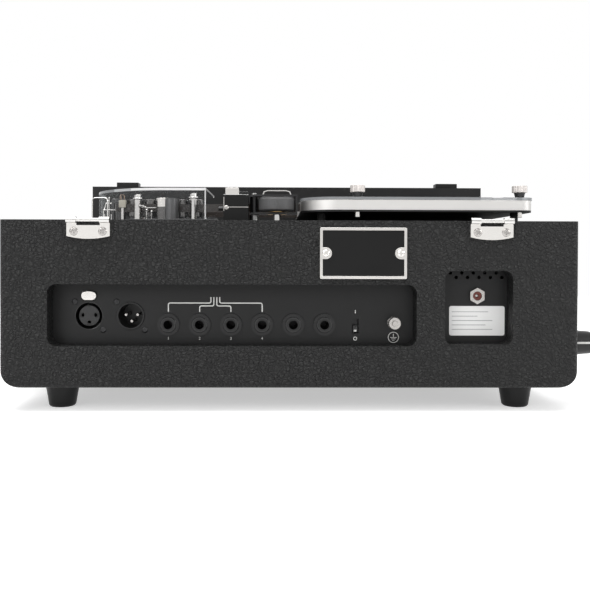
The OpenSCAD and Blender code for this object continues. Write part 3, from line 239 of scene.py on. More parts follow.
def clearSheet(name, tint, alpha):
    f = Finish(name)
    # Towards grazing views the sheet grows more opaque in its pale tint, a painted sheen that
    # stands for the sheet's reflection; the dust is real.
    rim = f.add("LayerWeight", inputs={"Blend": 0.35}, out="Facing")
    dust = f.noise(uneven["dust"], 4)
    return f.coat(Base_Color=(*tint, 1), Roughness=0.04 + dust * 0.06, IOR=1.49,
                  Alpha=alpha + rim ** 3 * 0.2 + dust * 0.008)


def paleInk(name, *tone):
    f = Finish(name)
    speck = f.noise(uneven["ink"], 2)
    return f.coat(Base_Color=f.mix(speck, tone, 0.86), Roughness=0.5 + speck * 0.1,
                  Normal=f.bump(speck, 0.00001))


def colourCoat(name, tone, rough, metal=0.0):
    f = Finish(name)
    cloud, fine = f.noise(uneven["coat"]), f.noise(uneven["coatFine"], 2)
    return f.coat(Base_Color=f.mix(cloud, tone, 0.72), Metallic=metal,
                  Roughness=rough + (fine - 0.5) * 0.12, Normal=f.bump(fine, 0.00001))


recipes = {
    # Tone, roughness, size and depth of the grain, shine.
    softBlack: {"blackRubber": (0.005, 0.42, 1500, 0.00003, 0.24),
                "powderCoat": (0.01, 0.46, 2600, 0.00002, 0.25),
                "mouldedBlack": (0.005, 0.34, 3000, 0.00001, 0.35),
                "badgeBlack": (0.004, 0.4, 3200, 0.00001, 0.2),
                "glossBlack": (0.004, 0.2, 1800, 0.000008, 0.5),
                "greyPlastic": (0.036, 0.45, 2400, 0.00001, 0.28),
                "rollerRubber": (0.1, 0.42, 900, 0.00003, 0.3),
                "mouldedBrown": (0.004, 0.36, 1400, 0.00002, 0.22),
                "sheenBlack": (0.026, 0.24, 1800, 0.000008, 0.6)},
    # Tone, roughness, and for some the stretch and depth of the grain.
    brightMetal: {"nickelPlate": ((0.68, 0.66, 0.635), 0.15),
                  "brushedSteel": ((0.3, 0.3, 0.295), 0.3, (1, 1, 14)),
                  "blastedAluminium": ((0.62, 0.61, 0.595), 0.46, None, 0.00003),
                  "sinteredBronze": ((0.58, 0.38, 0.17), 0.3),
                  "chrome": ((0.6, 0.59, 0.575), 0.1),
                  "greyPlate": ((0.07, 0.07, 0.071), 0.4),
                  "thumbMetal": ((0.56, 0.53, 0.51), 0.42, None, 0.00003),
                  "headCan": ((0.1, 0.1, 0.102), 0.28, (1, 1, 10)),
                  "headFace": ((0.13, 0.127, 0.125), 0.16),
                  "brightNickel": ((0.82, 0.8, 0.77), 0.15),
                  # A duller, darker steel than the nickel plate.
                  "wornSteel": ((0.4, 0.385, 0.37), 0.2, (1, 1, 8), 0.00004),
                  "leadBrass": ((0.21, 0.15, 0.11), 0.3)},
    # Tint and lowest opacity.
    clearSheet: {"clearAcrylic": ((0.86, 0.9, 0.92), 0.006),
                 # The three edge finishes are grey to white tints painted on clear edges and
                 # bends: painted dim edge, painted half light and painted highlight.
                 "sheetEdge": ((0.3, 0.31, 0.32), 0.82),
                 "midEdge": ((0.58, 0.59, 0.6), 0.86),
                 "brightEdge": ((0.95, 0.95, 0.95), 0.9)},
    # Red, green and blue.
    paleInk: {"whiteInk": (0.72, 0.72, 0.7), "greyInk": (0.25, 0.25, 0.26),
              "redInk": (0.5, 0.04, 0.03), "meterCard": (0.75, 0.7, 0.55),
              "labelPaper": (0.93, 0.93, 0.92), "palePlastic": (0.5, 0.47, 0.4),
              "mouldedWhite": (0.68, 0.68, 0.65)},
    # Tone, roughness and metal.
    colourCoat: {"oxideTape": ((0.015, 0.0095, 0.007), 0.26),
                 "boardLacquer": ((0.02, 0.13, 0.06), 0.3),
                 "needleRed": ((0.55, 0.04, 0.02), 0.4),
                 "insulator": ((0.16, 0.03, 0.02), 0.4),
                 "leadRed": ((0.3, 0.02, 0.015), 0.45),
                 "leadWhite": ((0.5, 0.48, 0.44), 0.45),
                 "blackedSteel": ((0.035, 0.035, 0.036), 0.3, 0.6)}}
finishes = {name: make(name, *values) for make, rows in recipes.items()
            for name, values in rows.items()}
finishes["covering"] = vinylCovering()

# What the record's slots look like.
for slotName, finishName in {
        "covered_wood": "covering", "black_rubber": "blackRubber", "nickel": "nickelPlate",
        "steel": "brushedSteel", "black_sheet": "powderCoat", "black_plastic": "mouldedBlack",
        "white_plastic": "mouldedWhite", "aluminium": "blastedAluminium",
        "clear_sheet": "clearAcrylic", "bronze": "sinteredBronze", "magnetic_tape": "oxideTape",
        "board": "boardLacquer", "red_paint": "needleRed"}.items():
    finishes[slotName] = finishes[finishName]
print("finishes made")


# Shape helpers.

# Angles in degrees, and the distance in metres under which corners merge.
meshing = {"merge": 2e-6, "flat": 0.6, "bevelled": 34, "sharp": 32, "sharpCad": 40, "level": 60}


def linked(name, data):
    piece = bpy.data.objects.new(name, data)
    bpy.context.scene.collection.objects.link(piece)
    return piece


def asPiece(name, parts, finish, body=chassis, instead=()):
    # A piece of the scene, from a mesh or from a list that joined() takes.
    mesh = joined(*parts) if isinstance(parts, list) else parts
    piece = linked(name, mesh)
    if finish:
        mesh.materials.clear()
        mesh.materials.append(finishes[finish])
    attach(piece, body)
    if instead:
        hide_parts(*instead)
    return piece


def settled(piece):
    # The evaluated mesh of a piece, with its modifiers taken in.
    bpy.context.view_layer.update()
    graph = bpy.context.evaluated_depsgraph_get()
    mesh = bpy.data.meshes.new_from_object(piece.evaluated_get(graph),
                                           preserve_all_data_layers=True, depsgraph=graph)
    bpy.data.objects.remove(piece)
    return mesh


def smoothed(mesh, angle=meshing["sharp"]):
    # Smooth shading with normals that stay level on the flat faces.
    mesh.shade_smooth()
    mesh.set_sharp_from_angle(angle=math.radians(angle))
    draft = linked("draft", mesh)
    level = draft.modifiers.new("level", "WEIGHTED_NORMAL")
    level.keep_sharp, level.weight = True, meshing["level"]
    return settled(draft)


def meshOf(bm, name):
    mesh = bpy.data.meshes.new(name)
    bm.to_mesh(mesh)
    bm.free()
    return mesh


def finerMesh(node, edge, steps=2):
    # A merged copy of a CAD node with its sharp edges broken.
    bm = bmesh.new()
    bm.from_mesh(nodes[node].data)
    bmesh.ops.remove_doubles(bm, verts=bm.verts, dist=meshing["merge"])
    bmesh.ops.dissolve_limit(bm, angle_limit=math.radians(meshing["flat"]), verts=bm.verts,
                             edges=bm.edges)
    mesh = meshOf(bm, node + "Finer")
    mesh.materials.clear()
    if edge:
        draft = linked("draft", mesh)
        bevel = draft.modifiers.new("edges", "BEVEL")
        bevel.width, bevel.segments = edge * mm, steps
        bevel.limit_method, bevel.angle_limit = "ANGLE", math.radians(meshing["bevelled"])
        bevel.use_clamp_overlap = True
        mesh = settled(draft)
    return smoothed(mesh, meshing["sharpCad"])


def turned(profile, sides=48):
    # Revolves (radius, height) pairs, given upwards on the outside, about z.
    bm = bmesh.new()
    rings = []
    for radius, height in profile:
        angles = [math.tau * i / sides for i in range(sides if radius > 0 else 1)]
        rings.append([bm.verts.new((radius * mm * math.cos(a), radius * mm * math.sin(a),
                                    height * mm)) for a in angles])
    for low, high in zip(rings, rings[1:]):
        for i in range(sides):
            j = (i + 1) % sides
            loop = [low[i % len(low)], low[j % len(low)], high[j % len(high)],
                    high[i % len(high)]]
            corners = [v for k, v in enumerate(loop) if v not in loop[:k]]
            if len(corners) > 2:
                bm.faces.new(corners)
    bmesh.ops.recalc_face_normals(bm, faces=bm.faces)
    return smoothed(meshOf(bm, "turned"))


def peg(radius, low, high, sides):
    return turned([(0, low), (radius, low), (radius, high), (0, high)], sides)


def pressed(outline, low, high, edge=0.0):
    # Raises an outline of (x, y) points from one height to another.
    bm = bmesh.new()
    face = bm.faces.new([bm.verts.new((x * mm, y * mm, low * mm)) for x, y in outline])
    side = bmesh.ops.extrude_face_region(bm, geom=[face])
    bmesh.ops.translate(bm, vec=(0, 0, (high - low) * mm),
                        verts=[v for v in side["geom"] if isinstance(v, bmesh.types.BMVert)])
    bmesh.ops.recalc_face_normals(bm, faces=bm.faces)
    if edge:
        limit = math.radians(meshing["bevelled"])
        sharp = [e for e in bm.edges if e.is_manifold and e.calc_face_angle(0) > limit]
        bmesh.ops.bevel(bm, geom=sharp, offset=edge * mm, segments=2, affect="EDGES",
                        clamp_overlap=True)
    return smoothed(meshOf(bm, "pressed"))


def bar(x0, y0, x1, y1, thick=0.06, low=0, edge=0.0):
    return pressed([(x0, y0), (x1, y0), (x1, y1), (x0, y1)], low, low + thick, edge)


def polar(radius, angle):
    return radius * math.cos(math.radians(angle)), radius * math.sin(math.radians(angle))


def clockwise(angle, radius):
    # As on a dial, from twelve o'clock.
    return radius * math.sin(math.radians(angle)), radius * math.cos(math.radians(angle))


def roundedBox(w, h, r):
    corners = []
    for sx, sy, start in ((1, 1, 0), (-1, 1, 90), (-1, -1, 180), (1, -1, 270)):
        for angle in range(start, start + 91, 15):
            x, y = polar(r, angle)
            corners.append((sx * (w / 2 - r) + x, sy * (h / 2 - r) + y))
    return corners


def joined(*parts):
    # One mesh out of meshes and (mesh, matrix) pairs.
    bm = bmesh.new()
    for part in parts:
        mesh, place = part if isinstance(part, tuple) else (part, Matrix.Identity(4))
        moved = mesh.copy()
        moved.transform(place)
        bm.from_mesh(moved)
        bpy.data.meshes.remove(moved)
    return smoothed(meshOf(bm, "joined"))


def cut(mesh, tool):
    # The mesh with the tool's volume taken away.
    whole, away = linked("cutDraft", mesh), linked("cutTool", tool)
    taking = whole.modifiers.new("cut", "BOOLEAN")
    taking.operation, taking.solver, taking.object = "DIFFERENCE", "EXACT", away
    result = settled(whole)
    bpy.data.objects.remove(away)
    return smoothed(result)


def sliced(mesh, *planes):
    # New edges where the planes (point in mm, normal) pass through the mesh.
    bm = bmesh.new()
    bm.from_mesh(mesh)
    for point, normal in planes:
        bmesh.ops.bisect_plane(bm, geom=list(bm.verts) + list(bm.edges) + list(bm.faces),
                               plane_co=Vector(point) * mm, plane_no=normal)
    bm.to_mesh(mesh)
    bm.free()
    return smoothed(mesh)


def at(x, y, z, turn=None):
    return Matrix.Translation((x * mm, y * mm, z * mm)) @ (turn or Matrix.Identity(4))


def spin(angle, axis="Z"):
    return Matrix.Rotation(math.radians(angle), 4, axis)


faceRear = Matrix(((1, 0, 0, 0), (0, 0, -1, 0), (0, 1, 0, 0), (0, 0, 0, 1)))
faceRight = Matrix(((0, 0, 1, 0), (1, 0, 0, 0), (0, 1, 0, 0), (0, 0, 0, 1)))


def pivot(joint):
    return Vector(joints[joint]["pos_m"]) / mm


def spot(node):
    # Lowest corner, highest corner and middle of a node, in millimetres.
    low, high = (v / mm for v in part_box(node))
    return low, high, (low + high) / 2


# Patterns made with Geometry Nodes.

class Pattern(Nodes):
    # A Geometry Nodes tree with named sizes, used through grown().
    family = "GeometryNode"

    def __init__(self, name, **sizes):
        super().__init__(bpy.data.node_groups.new(name, "GeometryNodeTree"))
        face = self.tree.interface
        face.new_socket("Geometry", in_out="OUTPUT", socket_type="NodeSocketGeometry")
        for key, kind in {"Geometry": "Geometry", **sizes, "finish": "Material"}.items():
            face.new_socket(key, in_out="INPUT", socket_type="NodeSocket" + kind)
        self.start = self.tree.nodes.new("NodeGroupInput")

    def size(self, key):
        return Wire(self.tree, self.start.outputs[key])

    def close(self, geometry):
        real = self.add("RealizeInstances", inputs={0: geometry})
        coated = self.add("SetMaterial", inputs={"Geometry": real,
                                                 "Material": self.size("finish")})
        end = self.tree.nodes.new("NodeGroupOutput")
        self.tree.links.new(coated.socket, end.inputs[0])
        return self

    def grown(self, source, finish, **sizes):
        draft = linked("draft", source)
        live = draft.modifiers.new("pattern", "NODES")
        live.node_group = self.tree
        sizes["finish"] = finishes[finish]
        for item in self.tree.interface.items_tree:
            if item.in_out == "INPUT" and item.name in sizes:
                live[item.identifier] = sizes[item.name]
        return smoothed(settled(draft))


spread = Pattern("spread", part="Object")
spread.close(spread.add("InstanceOnPoints", inputs={
    "Points": spread.add("MeshToPoints", inputs={"Mesh": spread.size("Geometry")}),
    "Instance": spread.add("ObjectInfo", inputs={"Object": spread.size("part")}, out="Geometry"),
    "Rotation": spread.add("InputNamedAttribute", {"data_type": "FLOAT_VECTOR"},
                           {"Name": "turn"})}))


def follow(name, round):
    # A strip or a wire along a line of points, with its corners bent.
    p = Pattern(name, wide="Float", deep="Float", bend="Float")
    eased = p.add("FilletCurve", {"mode": "POLY"}, {
        "Curve": p.add("MeshToCurve", inputs={"Mesh": p.size("Geometry")}),
        "Radius": p.size("bend"), "Limit Radius": True, "Count": 6})
    if round:
        section = p.add("CurvePrimitiveCircle",
                        inputs={"Resolution": 10, "Radius": p.size("wide") / 2})
    else:
        section = p.add("CurvePrimitiveQuadrilateral",
                        inputs={"Width": p.size("wide"), "Height": p.size("deep")})
        eased = p.add("SetCurveNormal", {"mode": "Z_UP"}, {"Curve": eased})
    return p.close(p.add("CurveToMesh", inputs={"Curve": eased, "Profile Curve": section,
                                                "Fill Caps": True}))


strip, wireRun = follow("strip", False), follow("wireRun", True)


def pathMesh(points, edges=True):
    mesh = bpy.data.meshes.new("path")
    pairs = [(i, i + 1) for i in range(len(points) - 1)] if edges else []
    mesh.from_pydata([Vector(p) * mm for p in points], pairs, [])
    return mesh


def strewn(part, places, turns, finish):
    # Copies of a part mesh at places, as one mesh.
    mesh = pathMesh(places, False)
    turn = mesh.attributes.new("turn", "FLOAT_VECTOR", "POINT")
    for i in range(len(places)):
        turn.data[i].vector = turns[i]
    holder = linked("part", part)
    mesh = spread.grown(mesh, finish, part=holder)
    bpy.data.objects.remove(holder)
    return mesh


def ribbon(points, finish, wide, deep, bend):
    return strip.grown(pathMesh(points), finish, wide=wide * mm, deep=deep * mm, bend=bend * mm)


def wire(points, finish, thick, bend):
    return wireRun.grown(pathMesh(points), finish, wide=thick * mm, bend=bend * mm)


def lettered(text, height):
    # Plain figures as a thin mesh, centred, in the xy plane.
    curve = bpy.data.curves.new("figure", "FONT")
    curve.body, curve.size, curve.extrude = text, height * mm, 0.03 * mm
    curve.align_x, curve.align_y = "CENTER", "CENTER"
    curve.resolution_u = 3
    return settled(linked("figure", curve))


# Camera, light and floor.

def lookFrom(shot):
    lens = bpy.data.cameras.new("camera")
    lens.lens = shot["film"] * shot["pixels"] / shot["frame"]
    lens.shift_x, lens.shift_y = shot["shift"]
    lens.clip_start, lens.clip_end = shot["clip"]
    camera = linked("camera", lens)
    yaw, pitch, roll = shot["turn"]
    camera.matrix_world = (Matrix.Translation(shot["place"]) @ spin(-yaw) @ spin(90 + pitch, "X")
                           @ spin(roll))
    bpy.context.scene.camera = camera


lookFrom({"place": (-0.00855, -0.68115, 0.11245), "turn": (0.88, -0.57, 0.17), "film": 36,
          "pixels": 749.5, "frame": 591, "shift": (0.0096, -0.0565), "clip": (0.02, 20)})


def softLight(name, place, wide, high, power):
    # A lamp that is turned to the unit and isn't seen itself.
    lamp = bpy.data.lights.new(name, "AREA")
    lamp.shape, lamp.size, lamp.size_y, lamp.energy = "RECTANGLE", wide, high, power
    holder = linked(name, lamp)
    holder.location = place
    aim = Vector((0, 0, 0.1)) - Vector(place)
    holder.rotation_euler = aim.to_track_quat("-Z", "Y").to_euler()
    holder.visible_camera = False


softLight("overhead", (-0.2, -0.4, 1.7), 1.6, 1.3, 30)
softLight("rearSoft", (-1.1, -1.6, 0.9), 0.8, 0.8, 11)
softLight("rightSoft", (1.5, -0.9, 0.7), 0.7, 0.7, 8)
softLight("frontSoft", (0.3, 1.5, 1.1), 1.2, 1.0, 15)


def seenWhite(maker):
    # One where the camera, a reflection or a clear sheet looks, else zero.
    ray = maker.add("LightPath").socket.node
    seen = [Wire(maker.tree, ray.outputs[key])
            for key in ("Is Camera Ray", "Is Glossy Ray", "Is Transmission Ray")]
    return seen[0].math("MINIMUM", seen[0] + seen[1] + seen[2], 1.0)


def studio():
    look = {"sky": 0.4, "seenSky": 0.6, "tone": (0.8, 0.8, 0.8), "dark": 0.975, "seenFloor": 0.5,
            "reach": 1.6, "sides": 64}
    white = (1, 1, 1, 1)
    world = bpy.data.worlds.new("studio")
    bpy.context.scene.world = world
    world.use_nodes = True
    sky = Nodes(world.node_tree)
    glow = seenWhite(sky) * look["seenSky"] + look["sky"]
    sky.add("OutputWorld", inputs={
        "Surface": sky.add("Background", inputs={"Color": white, "Strength": glow})})
    ground = Finish("paleFloor")
    tone = ground.mix(ground.noise(30, 2), look["tone"], look["dark"])
    matt = ground.add("BsdfDiffuse", inputs={"Color": tone})
    shine = ground.add("Emission", inputs={"Color": white,
                                           "Strength": seenWhite(ground) * look["seenFloor"]})
    rim = [(*polar(look["reach"], 360 * i / look["sides"]), 0) for i in range(look["sides"])]
    mesh = bpy.data.meshes.new("floor")
    mesh.from_pydata(rim, [], [tuple(range(len(rim)))])
    mesh.materials.append(ground.done(ground.add("AddShader", inputs={0: matt, 1: shine})))
    floor = linked("floor", mesh)
    bpy.context.scene.view_settings.view_transform = "Standard"


studio()
print("camera, light and floor ready")


# The model's own pieces take their finishes.

slotOf = {row["node"]: row["material_slot"] for row in frame["record"]["subparts"]}
for name, piece in nodes.items():
    piece.data.materials.clear()
    piece.data.materials.append(finishes[slotOf[name]])


def patch(piece, finish, chosen):
    # Gives the faces that pass a test of (middle in mm, normal) another finish.
    piece.data.materials.append(finishes[finish])
    last = len(piece.data.materials) - 1
    for face in piece.data.polygons:
        if chosen(face.center / mm, face.normal):
            face.material_index = last


def finer(name, edge, steps=2, finish=None):
    # Stands in for a node with a copy whose edges are broken.
    return asPiece(name + "Finer", finerMesh(name, edge, steps), finish or slotOf[name],
                   nodes[name]["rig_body"], (name,))


# The case and what is fixed to it.

rearFace, rimLevel = spot("case_shell")[0].y, spot("case_shell")[1].z
panelFace = spot("rear_panel")[0].y
finer("case_shell", 0.9, 3)
finer("rubber_feet", 0.5)
hinges = finer("hinge_halves", 0.25, finish="brightNickel")
patch(hinges, "chrome", lambda c, n: c.z > rimLevel - 3)
finer("badge_plate", 0.18)
finer("handle_brackets", 0.5)
finer("latch_keepers", 0.3)


def crossScrew(across, rise):
    # A raised countersunk head with a cross recess, looking along +z.
    r = across / 2
    dome = turned([(0, -0.6), (r - 0.7, -0.6), (r, 0), (r - 0.06, 0.12), (r * 0.86, rise * 0.55),
                   (r * 0.6, rise * 0.85), (r * 0.3, rise * 0.97), (0, rise)], 28)
    arm, thick = r * 0.62, r * 0.2
    blade = [(arm, thick), (thick, thick), (thick, arm)]
    for _ in range(3):
        blade += [(-y, x) for x, y in blade[-3:]]
    return cut(dome, pressed(blade, rise - 0.65, rise + 1))


def screwSet(name, head, places, turn, seed, finish="nickel", instead=()):
    # Heads of (across, rise) at places, with their recesses at odd angles.
    rng = random.Random(seed)
    turns = [tuple((turn @ spin(rng.random() * 180)).to_euler()) for _ in places]
    asPiece(name, strewn(crossScrew(*head), places, turns, finish), None,
            instead=instead)


badgeLow, badgeHigh, badgeMid = spot("badge_plate")
xlrIn, xlrOut = (Vector(mounts[name]["pos_m"]) / mm for name in ("line_input", "line_output"))
hinge = {"head": (6.2, 1.0), "wide": 30.4, "in": 5.1, "drop": 10.3, "leaf": 1.6}
badge = {"head": (5.4, 1.0), "in": 4.3, "plate": 1.4, "border": 2.1, "boss": 4.35, "field": 0.7}
socket = {"head": (4.6, 0.9), "out": 10.2}


def caseScrews():
    low, high = spot("hinge_halves")[:2]
    out = hinge["wide"] / 2 - hinge["in"]
    spots = [(x + s * out, rearFace - hinge["leaf"], high.z - hinge["drop"])
             for x in (low.x + hinge["wide"] / 2, high.x - hinge["wide"] / 2) for s in (-1, 1)]
    screwSet("hingeScrews", hinge["head"], spots, faceRear, 5, "wornSteel", ("trim_screws",))
    out = (badgeHigh.x - badgeLow.x) / 2 - badge["in"]
    spots = [(badgeMid.x + s * out, rearFace - badge["plate"], badgeMid.z) for s in (-1, 1)]
    screwSet("badgeScrews", badge["head"], spots, faceRear, 8)
    out = socket["out"]
    spots = [(c.x + s * out, panelFace, c.z - s * out) for c in (xlrIn, xlrOut) for s in (-1, 1)]
    screwSet("socketScrews", socket["head"], spots, faceRear, 11, "blackedSteel")


def badgeFace():
    # The blank black field inside the badge's border, drawn in round its bosses.
    border, boss = badge["border"], badge["boss"]
    w, h = badgeHigh.x - badgeLow.x - 2 * border, badgeHigh.z - badgeLow.z - 2 * border
    centre = w / 2 + border - badge["in"]
    arc = [(centre - x, -y) for x, y in (clockwise(a, boss) for a in range(0, 181, 15))]
    right = [(w / 2, -boss)] + arc + [(w / 2, boss)]
    outline = [(w / 2, -h / 2)] + right + [(w / 2, h / 2), (-w / 2, h / 2)]
    outline += [(-x, -y) for x, y in right] + [(-w / 2, -h / 2)]
    mesh = pressed(outline, 0, 0.1)
    mesh.transform(at(badgeMid.x, rearFace - badge["field"], badgeMid.z, faceRear))
    asPiece("badgeFace", mesh, "badgeBlack")


caseScrews()
badgeFace()
print("case dressed")


# Sockets and marks on the rear panels.

def rearMark(x, z, mesh, deep=panelFace, lift=0.02):
    # A part that stands on a face which looks to the rear.
    return mesh, at(x, deep - lift, z, faceRear)


def ringMesh(outer, inner, thick=0.06):
    return turned([(inner, 0), (outer, 0), (outer, thick), (inner, thick), (inner, 0)], 40)


jacks = [Vector(m["pos_m"]) / mm for name, m in mounts.items() if name.startswith("jack_")]


def routeMarks():
    # Two nested pairs of lines that lead down to the first four sockets.
    route = {"top": 20.0, "bends": (15.7, 13.6, 13.6, 15.7), "end": 9.3, "gap": 2.13,
             "line": (0.75, 0.05, 1.3)}
    middle = (jacks[1].x + jacks[2].x) / 2
    parts = []
    for i, level in enumerate(route["bends"]):
        start = middle + (i - 1.5) * route["gap"] - jacks[i].x
        points = [(start, route["top"], 0), (start, level, 0), (0, level, 0), (0, route["end"], 0)]
        line = ribbon(points, "whiteInk", *route["line"])
        parts.append(rearMark(jacks[i].x, jacks[i].z, line))
    asPiece("routeMarks", parts, "whiteInk")


def panelMarks():
    # Numbers under the sockets, a line and a ring by the switch, the earth sign.
    mark = {"figure": 2.9, "figureDrop": 10.1, "lineUp": 10.6, "ringDown": 9.0, "signDown": 10.7,
            "signR": 4.0, "signLines": ((2.4, 0.1), (1.6, 1.1), (0.8, 2.1))}
    parts = [rearMark(j.x, j.z - mark["figureDrop"], lettered(str(i + 1), mark["figure"]))
             for i, j in enumerate(jacks[:4])]
    switch, earth = spot("stop_switch_body")[2], pivot("earth_turn")
    parts.append(rearMark(switch.x, switch.z + mark["lineUp"], bar(-0.3, -1.2, 0.3, 1.2)))
    parts.append(rearMark(switch.x, switch.z - mark["ringDown"], ringMesh(1.4, 0.9)))
    sign = [ringMesh(mark["signR"], mark["signR"] - 0.45), bar(-0.25, 0, 0.25, 2.6)]
    sign += [(bar(-w, -0.2, w, 0.2), at(0, -down, 0)) for w, down in mark["signLines"]]
    parts.append(rearMark(earth.x, earth.z - mark["signDown"], joined(*sign)))
    asPiece("panelMarks", parts, "whiteInk")


def labelPlate():
    # The pale sticker below the power inlet, left blank but for plain rules.
    label = {"at": (137.05, 64.5), "w": 40.7, "h": 21.6, "r": 1.6, "thick": 0.12, "margin": 2,
             "pitch": 3.2, "rule": 0.35, "short": (9, 14, 9, 20, 12)}
    sheet = pressed(roundedBox(label["w"], label["h"], label["r"]), 0, label["thick"])
    asPiece("labelPlate", [rearMark(*label["at"], sheet, lift=0)], "labelPaper")
    rules = []
    for i, short in enumerate(label["short"]):
        y = label["pitch"] * (i - 2)
        rule = bar(label["margin"] - label["w"] / 2, y, label["w"] / 2 - short, y + label["rule"],
                   0.03)
        rules.append(rearMark(*label["at"], rule, lift=label["thick"]))
    asPiece("labelRules", rules, "greyInk")


def jackFronts():
    # Each socket shows a flange with flats, a nut ring and a dark bore.
    front = {"flange": 7.7, "nut": 5.6, "bore": 3.5, "proud": 2.5}
    outer, nutR, bore, proud = front.values()
    flange = pressed([polar(outer, a + o) for a in range(0, 360, 60) for o in (-13, 13)],
                     0, 1.15, 0.25)
    nut = turned([(bore, 0.9), (nutR + 0.3, 0.9), (nutR + 0.3, 1.5), (nutR, 1.7), (nutR, 2.2),
                  (nutR - 0.3, proud), (bore + 0.25, proud), (bore, 2.2), (bore, 0.9)], 36)
    part = joined(cut(flange, peg(bore, -1, 4, 36)), nut)
    turns = [tuple(faceRear.to_euler())] * len(jacks)
    places = [(j.x, panelFace, j.z) for j in jacks]
    asPiece("jackFronts", strewn(part, places, turns, "sheenBlack"), None)


def inputFronts():
    # The insert of the three-pole input with its sockets and key, and its rim.
    pole = {"r": 5.4, "across": 3.7, "insert": 7.3, "angles": (6, 174, 270), "sunk": 0.95}
    r = pole["insert"]
    face = turned([(0, -0.4), (r, -0.4), (r, -0.1), (r - 0.25, 0.12), (0, 0.12)])
    for angle in pole["angles"]:
        drill = peg(pole["across"] / 2, -2, 2, 20)
        drill.transform(at(*polar(pole["r"], angle), 0))
        face = cut(face, drill)
    face = cut(face, joined((bar(-0.7, 6.1, 0.7, 8.5, 3), at(0, 0, -1.5))))
    asPiece("inputFace", [rearMark(xlrIn.x, xlrIn.z, face, lift=-pole["sunk"])], "greyPlastic")
    rim = turned([(9.55, 0), (9.65, -0.1), (9.65, 0.12), (10.1, 0.12), (10.2, 0), (10.1, -0.1),
                  (9.55, -0.1), (9.55, 0)], 56)
    asPiece("inputRim", [rearMark(xlrIn.x, xlrIn.z, rim, lift=0)], "glossBlack")


routeMarks()
panelMarks()
labelPlate()
jackFronts()
inputFronts()
finer("xlr_release_tab", 0.35, 3)
finer("xlr_output_socket", 0.2)
finer("xlr_output_poles", 0.5, 3, "wornSteel")
finer("power_inlet", 0.2, finish="wornSteel")
finer("earth_stud", 0.25, finish="wornSteel")
finer("earth_nut", 0.12, finish="wornSteel")


def leverPiece():
    # A black slider with grip ribs and a white dot at its lower end.
    lever = {"block": 0.1, "rib": 0.5, "pitch": 1.2, "proud": 0.5, "r": 0.4,
             "dot": 1.4, "dotHigh": 1.5, "dotUp": 1.1}
    node = "stop_switch_lever"
    low, high, mid = spot(node)
    w, h, deep = high.x - low.x, high.z - low.z, high.y - low.y
    place, body = at(mid.x, high.y, mid.z, faceRear), nodes[node]["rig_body"]
    block = pressed(roundedBox(w - lever["block"], h - lever["block"], lever["r"]), 0,
                    deep - lever["proud"], 0.2)
    rib = pressed(roundedBox(w - lever["rib"], lever["rib"], 0.2), deep - 0.6, deep, 0.12)
    mesh = joined(block, *[(rib, at(0, i * lever["pitch"], 0)) for i in range(3)])
    mesh.transform(place)
    asPiece("leverFace", mesh, "glossBlack", body, (node,))
    dot = pressed(roundedBox(w - lever["dot"], lever["dotHigh"], lever["r"]), deep - 0.6,
                  deep - 0.35, 0.08)
    asPiece("leverDot", [(dot, place @ at(0, lever["dotUp"] - h / 2, 0))], "whiteInk",
            body)


def inletCore():
    # The red insulator in the nut of the power inlet.
    low, mid = spot("power_inlet")[::2]
    core = turned([(1.3, 0), (3.5, 0), (3.5, 0.8), (3.2, 1.0), (1.6, 1.0), (1.3, 0.7), (1.3, 0)],
                  32)
    core.transform(at(mid.x, low.y + 2.6, mid.z, faceRear))
    asPiece("inletCore", core, "insulator")


leverPiece()
inletCore()
print("rear panels dressed")


# Deck, bin and tape.

deckTop = spot("deck_plate")[1].z
finer("deck_plate", 0.3)
finer("bin_floor", 0.25)
finer("bin_wall", 0.2)
finer("bin_posts", 0.3)
# The bin cover's cut edges get a painted grey that stands for how light shows in the edge.
patch(finer("bin_cover", 0.15), "sheetEdge", lambda c, n: abs(n.z) < 0.6)


def thumbscrews():
    # The knurled heads, and the dark tapered neck under each.
    coverTop = spot("bin_cover")[1].z
    neckEnd = coverTop + 3.4
    for side in ("right", "left", "front"):
        head = finer("thumbscrew_" + side, 0.2)
        patch(head, "thumbMetal", lambda c, n: c.z > neckEnd)
        patch(head, "blackedSteel", lambda c, n: coverTop < c.z < neckEnd and abs(n.z) < 0.9)


def middleLine(node):
    # The middle line of a strip that stands on edge, from the rim of its top.
    top = spot(node)[1].z - 0.01
    bm = bmesh.new()
    bm.from_mesh(nodes[node].data)
    bmesh.ops.remove_doubles(bm, verts=bm.verts, dist=meshing["merge"])
    ahead = {}
    for e in bm.edges:
        flat = sorted(abs(f.normal.z) > 0.5 for f in e.link_faces) == [False, True]
        if flat and all(v.co.z > top * mm for v in e.verts):
            for v, w in (tuple(e.verts), tuple(e.verts)[::-1]):
                ahead.setdefault(v, []).append(w)
    loop, here, last = [], next(iter(ahead)), None
    while not loop or here != loop[0]:
        loop.append(here)
        here, last = next(w for w in ahead[here] if w != last), here
    rim = [v.co / mm for v in loop]
    bm.free()
    first, second = [i for i in range(len(rim)) if (rim[i] - rim[i - 1]).length < 0.6]
    return [(a + b) / 2 for a, b in zip(rim[first:second], (rim[second:] + rim[:first])[::-1])]


def tapeRibbon():
    # The tape as a thin ribbon along the middle of the model's own strip.
    low, high, mid = spot("tape_loop")
    line = [(v.x, v.y, mid.z) for v in middleLine("tape_loop")]
    asPiece("tapeRibbon", ribbon(line, "magnetic_tape", 0.11, high.z - low.z, 0.6), None,
            nodes["tape_loop"]["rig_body"], ("tape_loop",))


thumbscrews()
tapeRibbon()
print("deck and tape dressed")


# Drive, roller and solenoid.

finer("capstan", 0.25)
finer("capstan_bearing", 0.3)
finer("drive_motor", 0.6)
finer("motor_pulley", 0.2)
finer("drive_belt", 0.1)
rollerLow, rollerHigh, rollerMid = spot("pinch_roller")


def mirrored(half, height):
    # A closed profile whose upper half mirrors its lower one.
    return half + [(r, height - z) for r, z in half[::-1]] + half[:1]


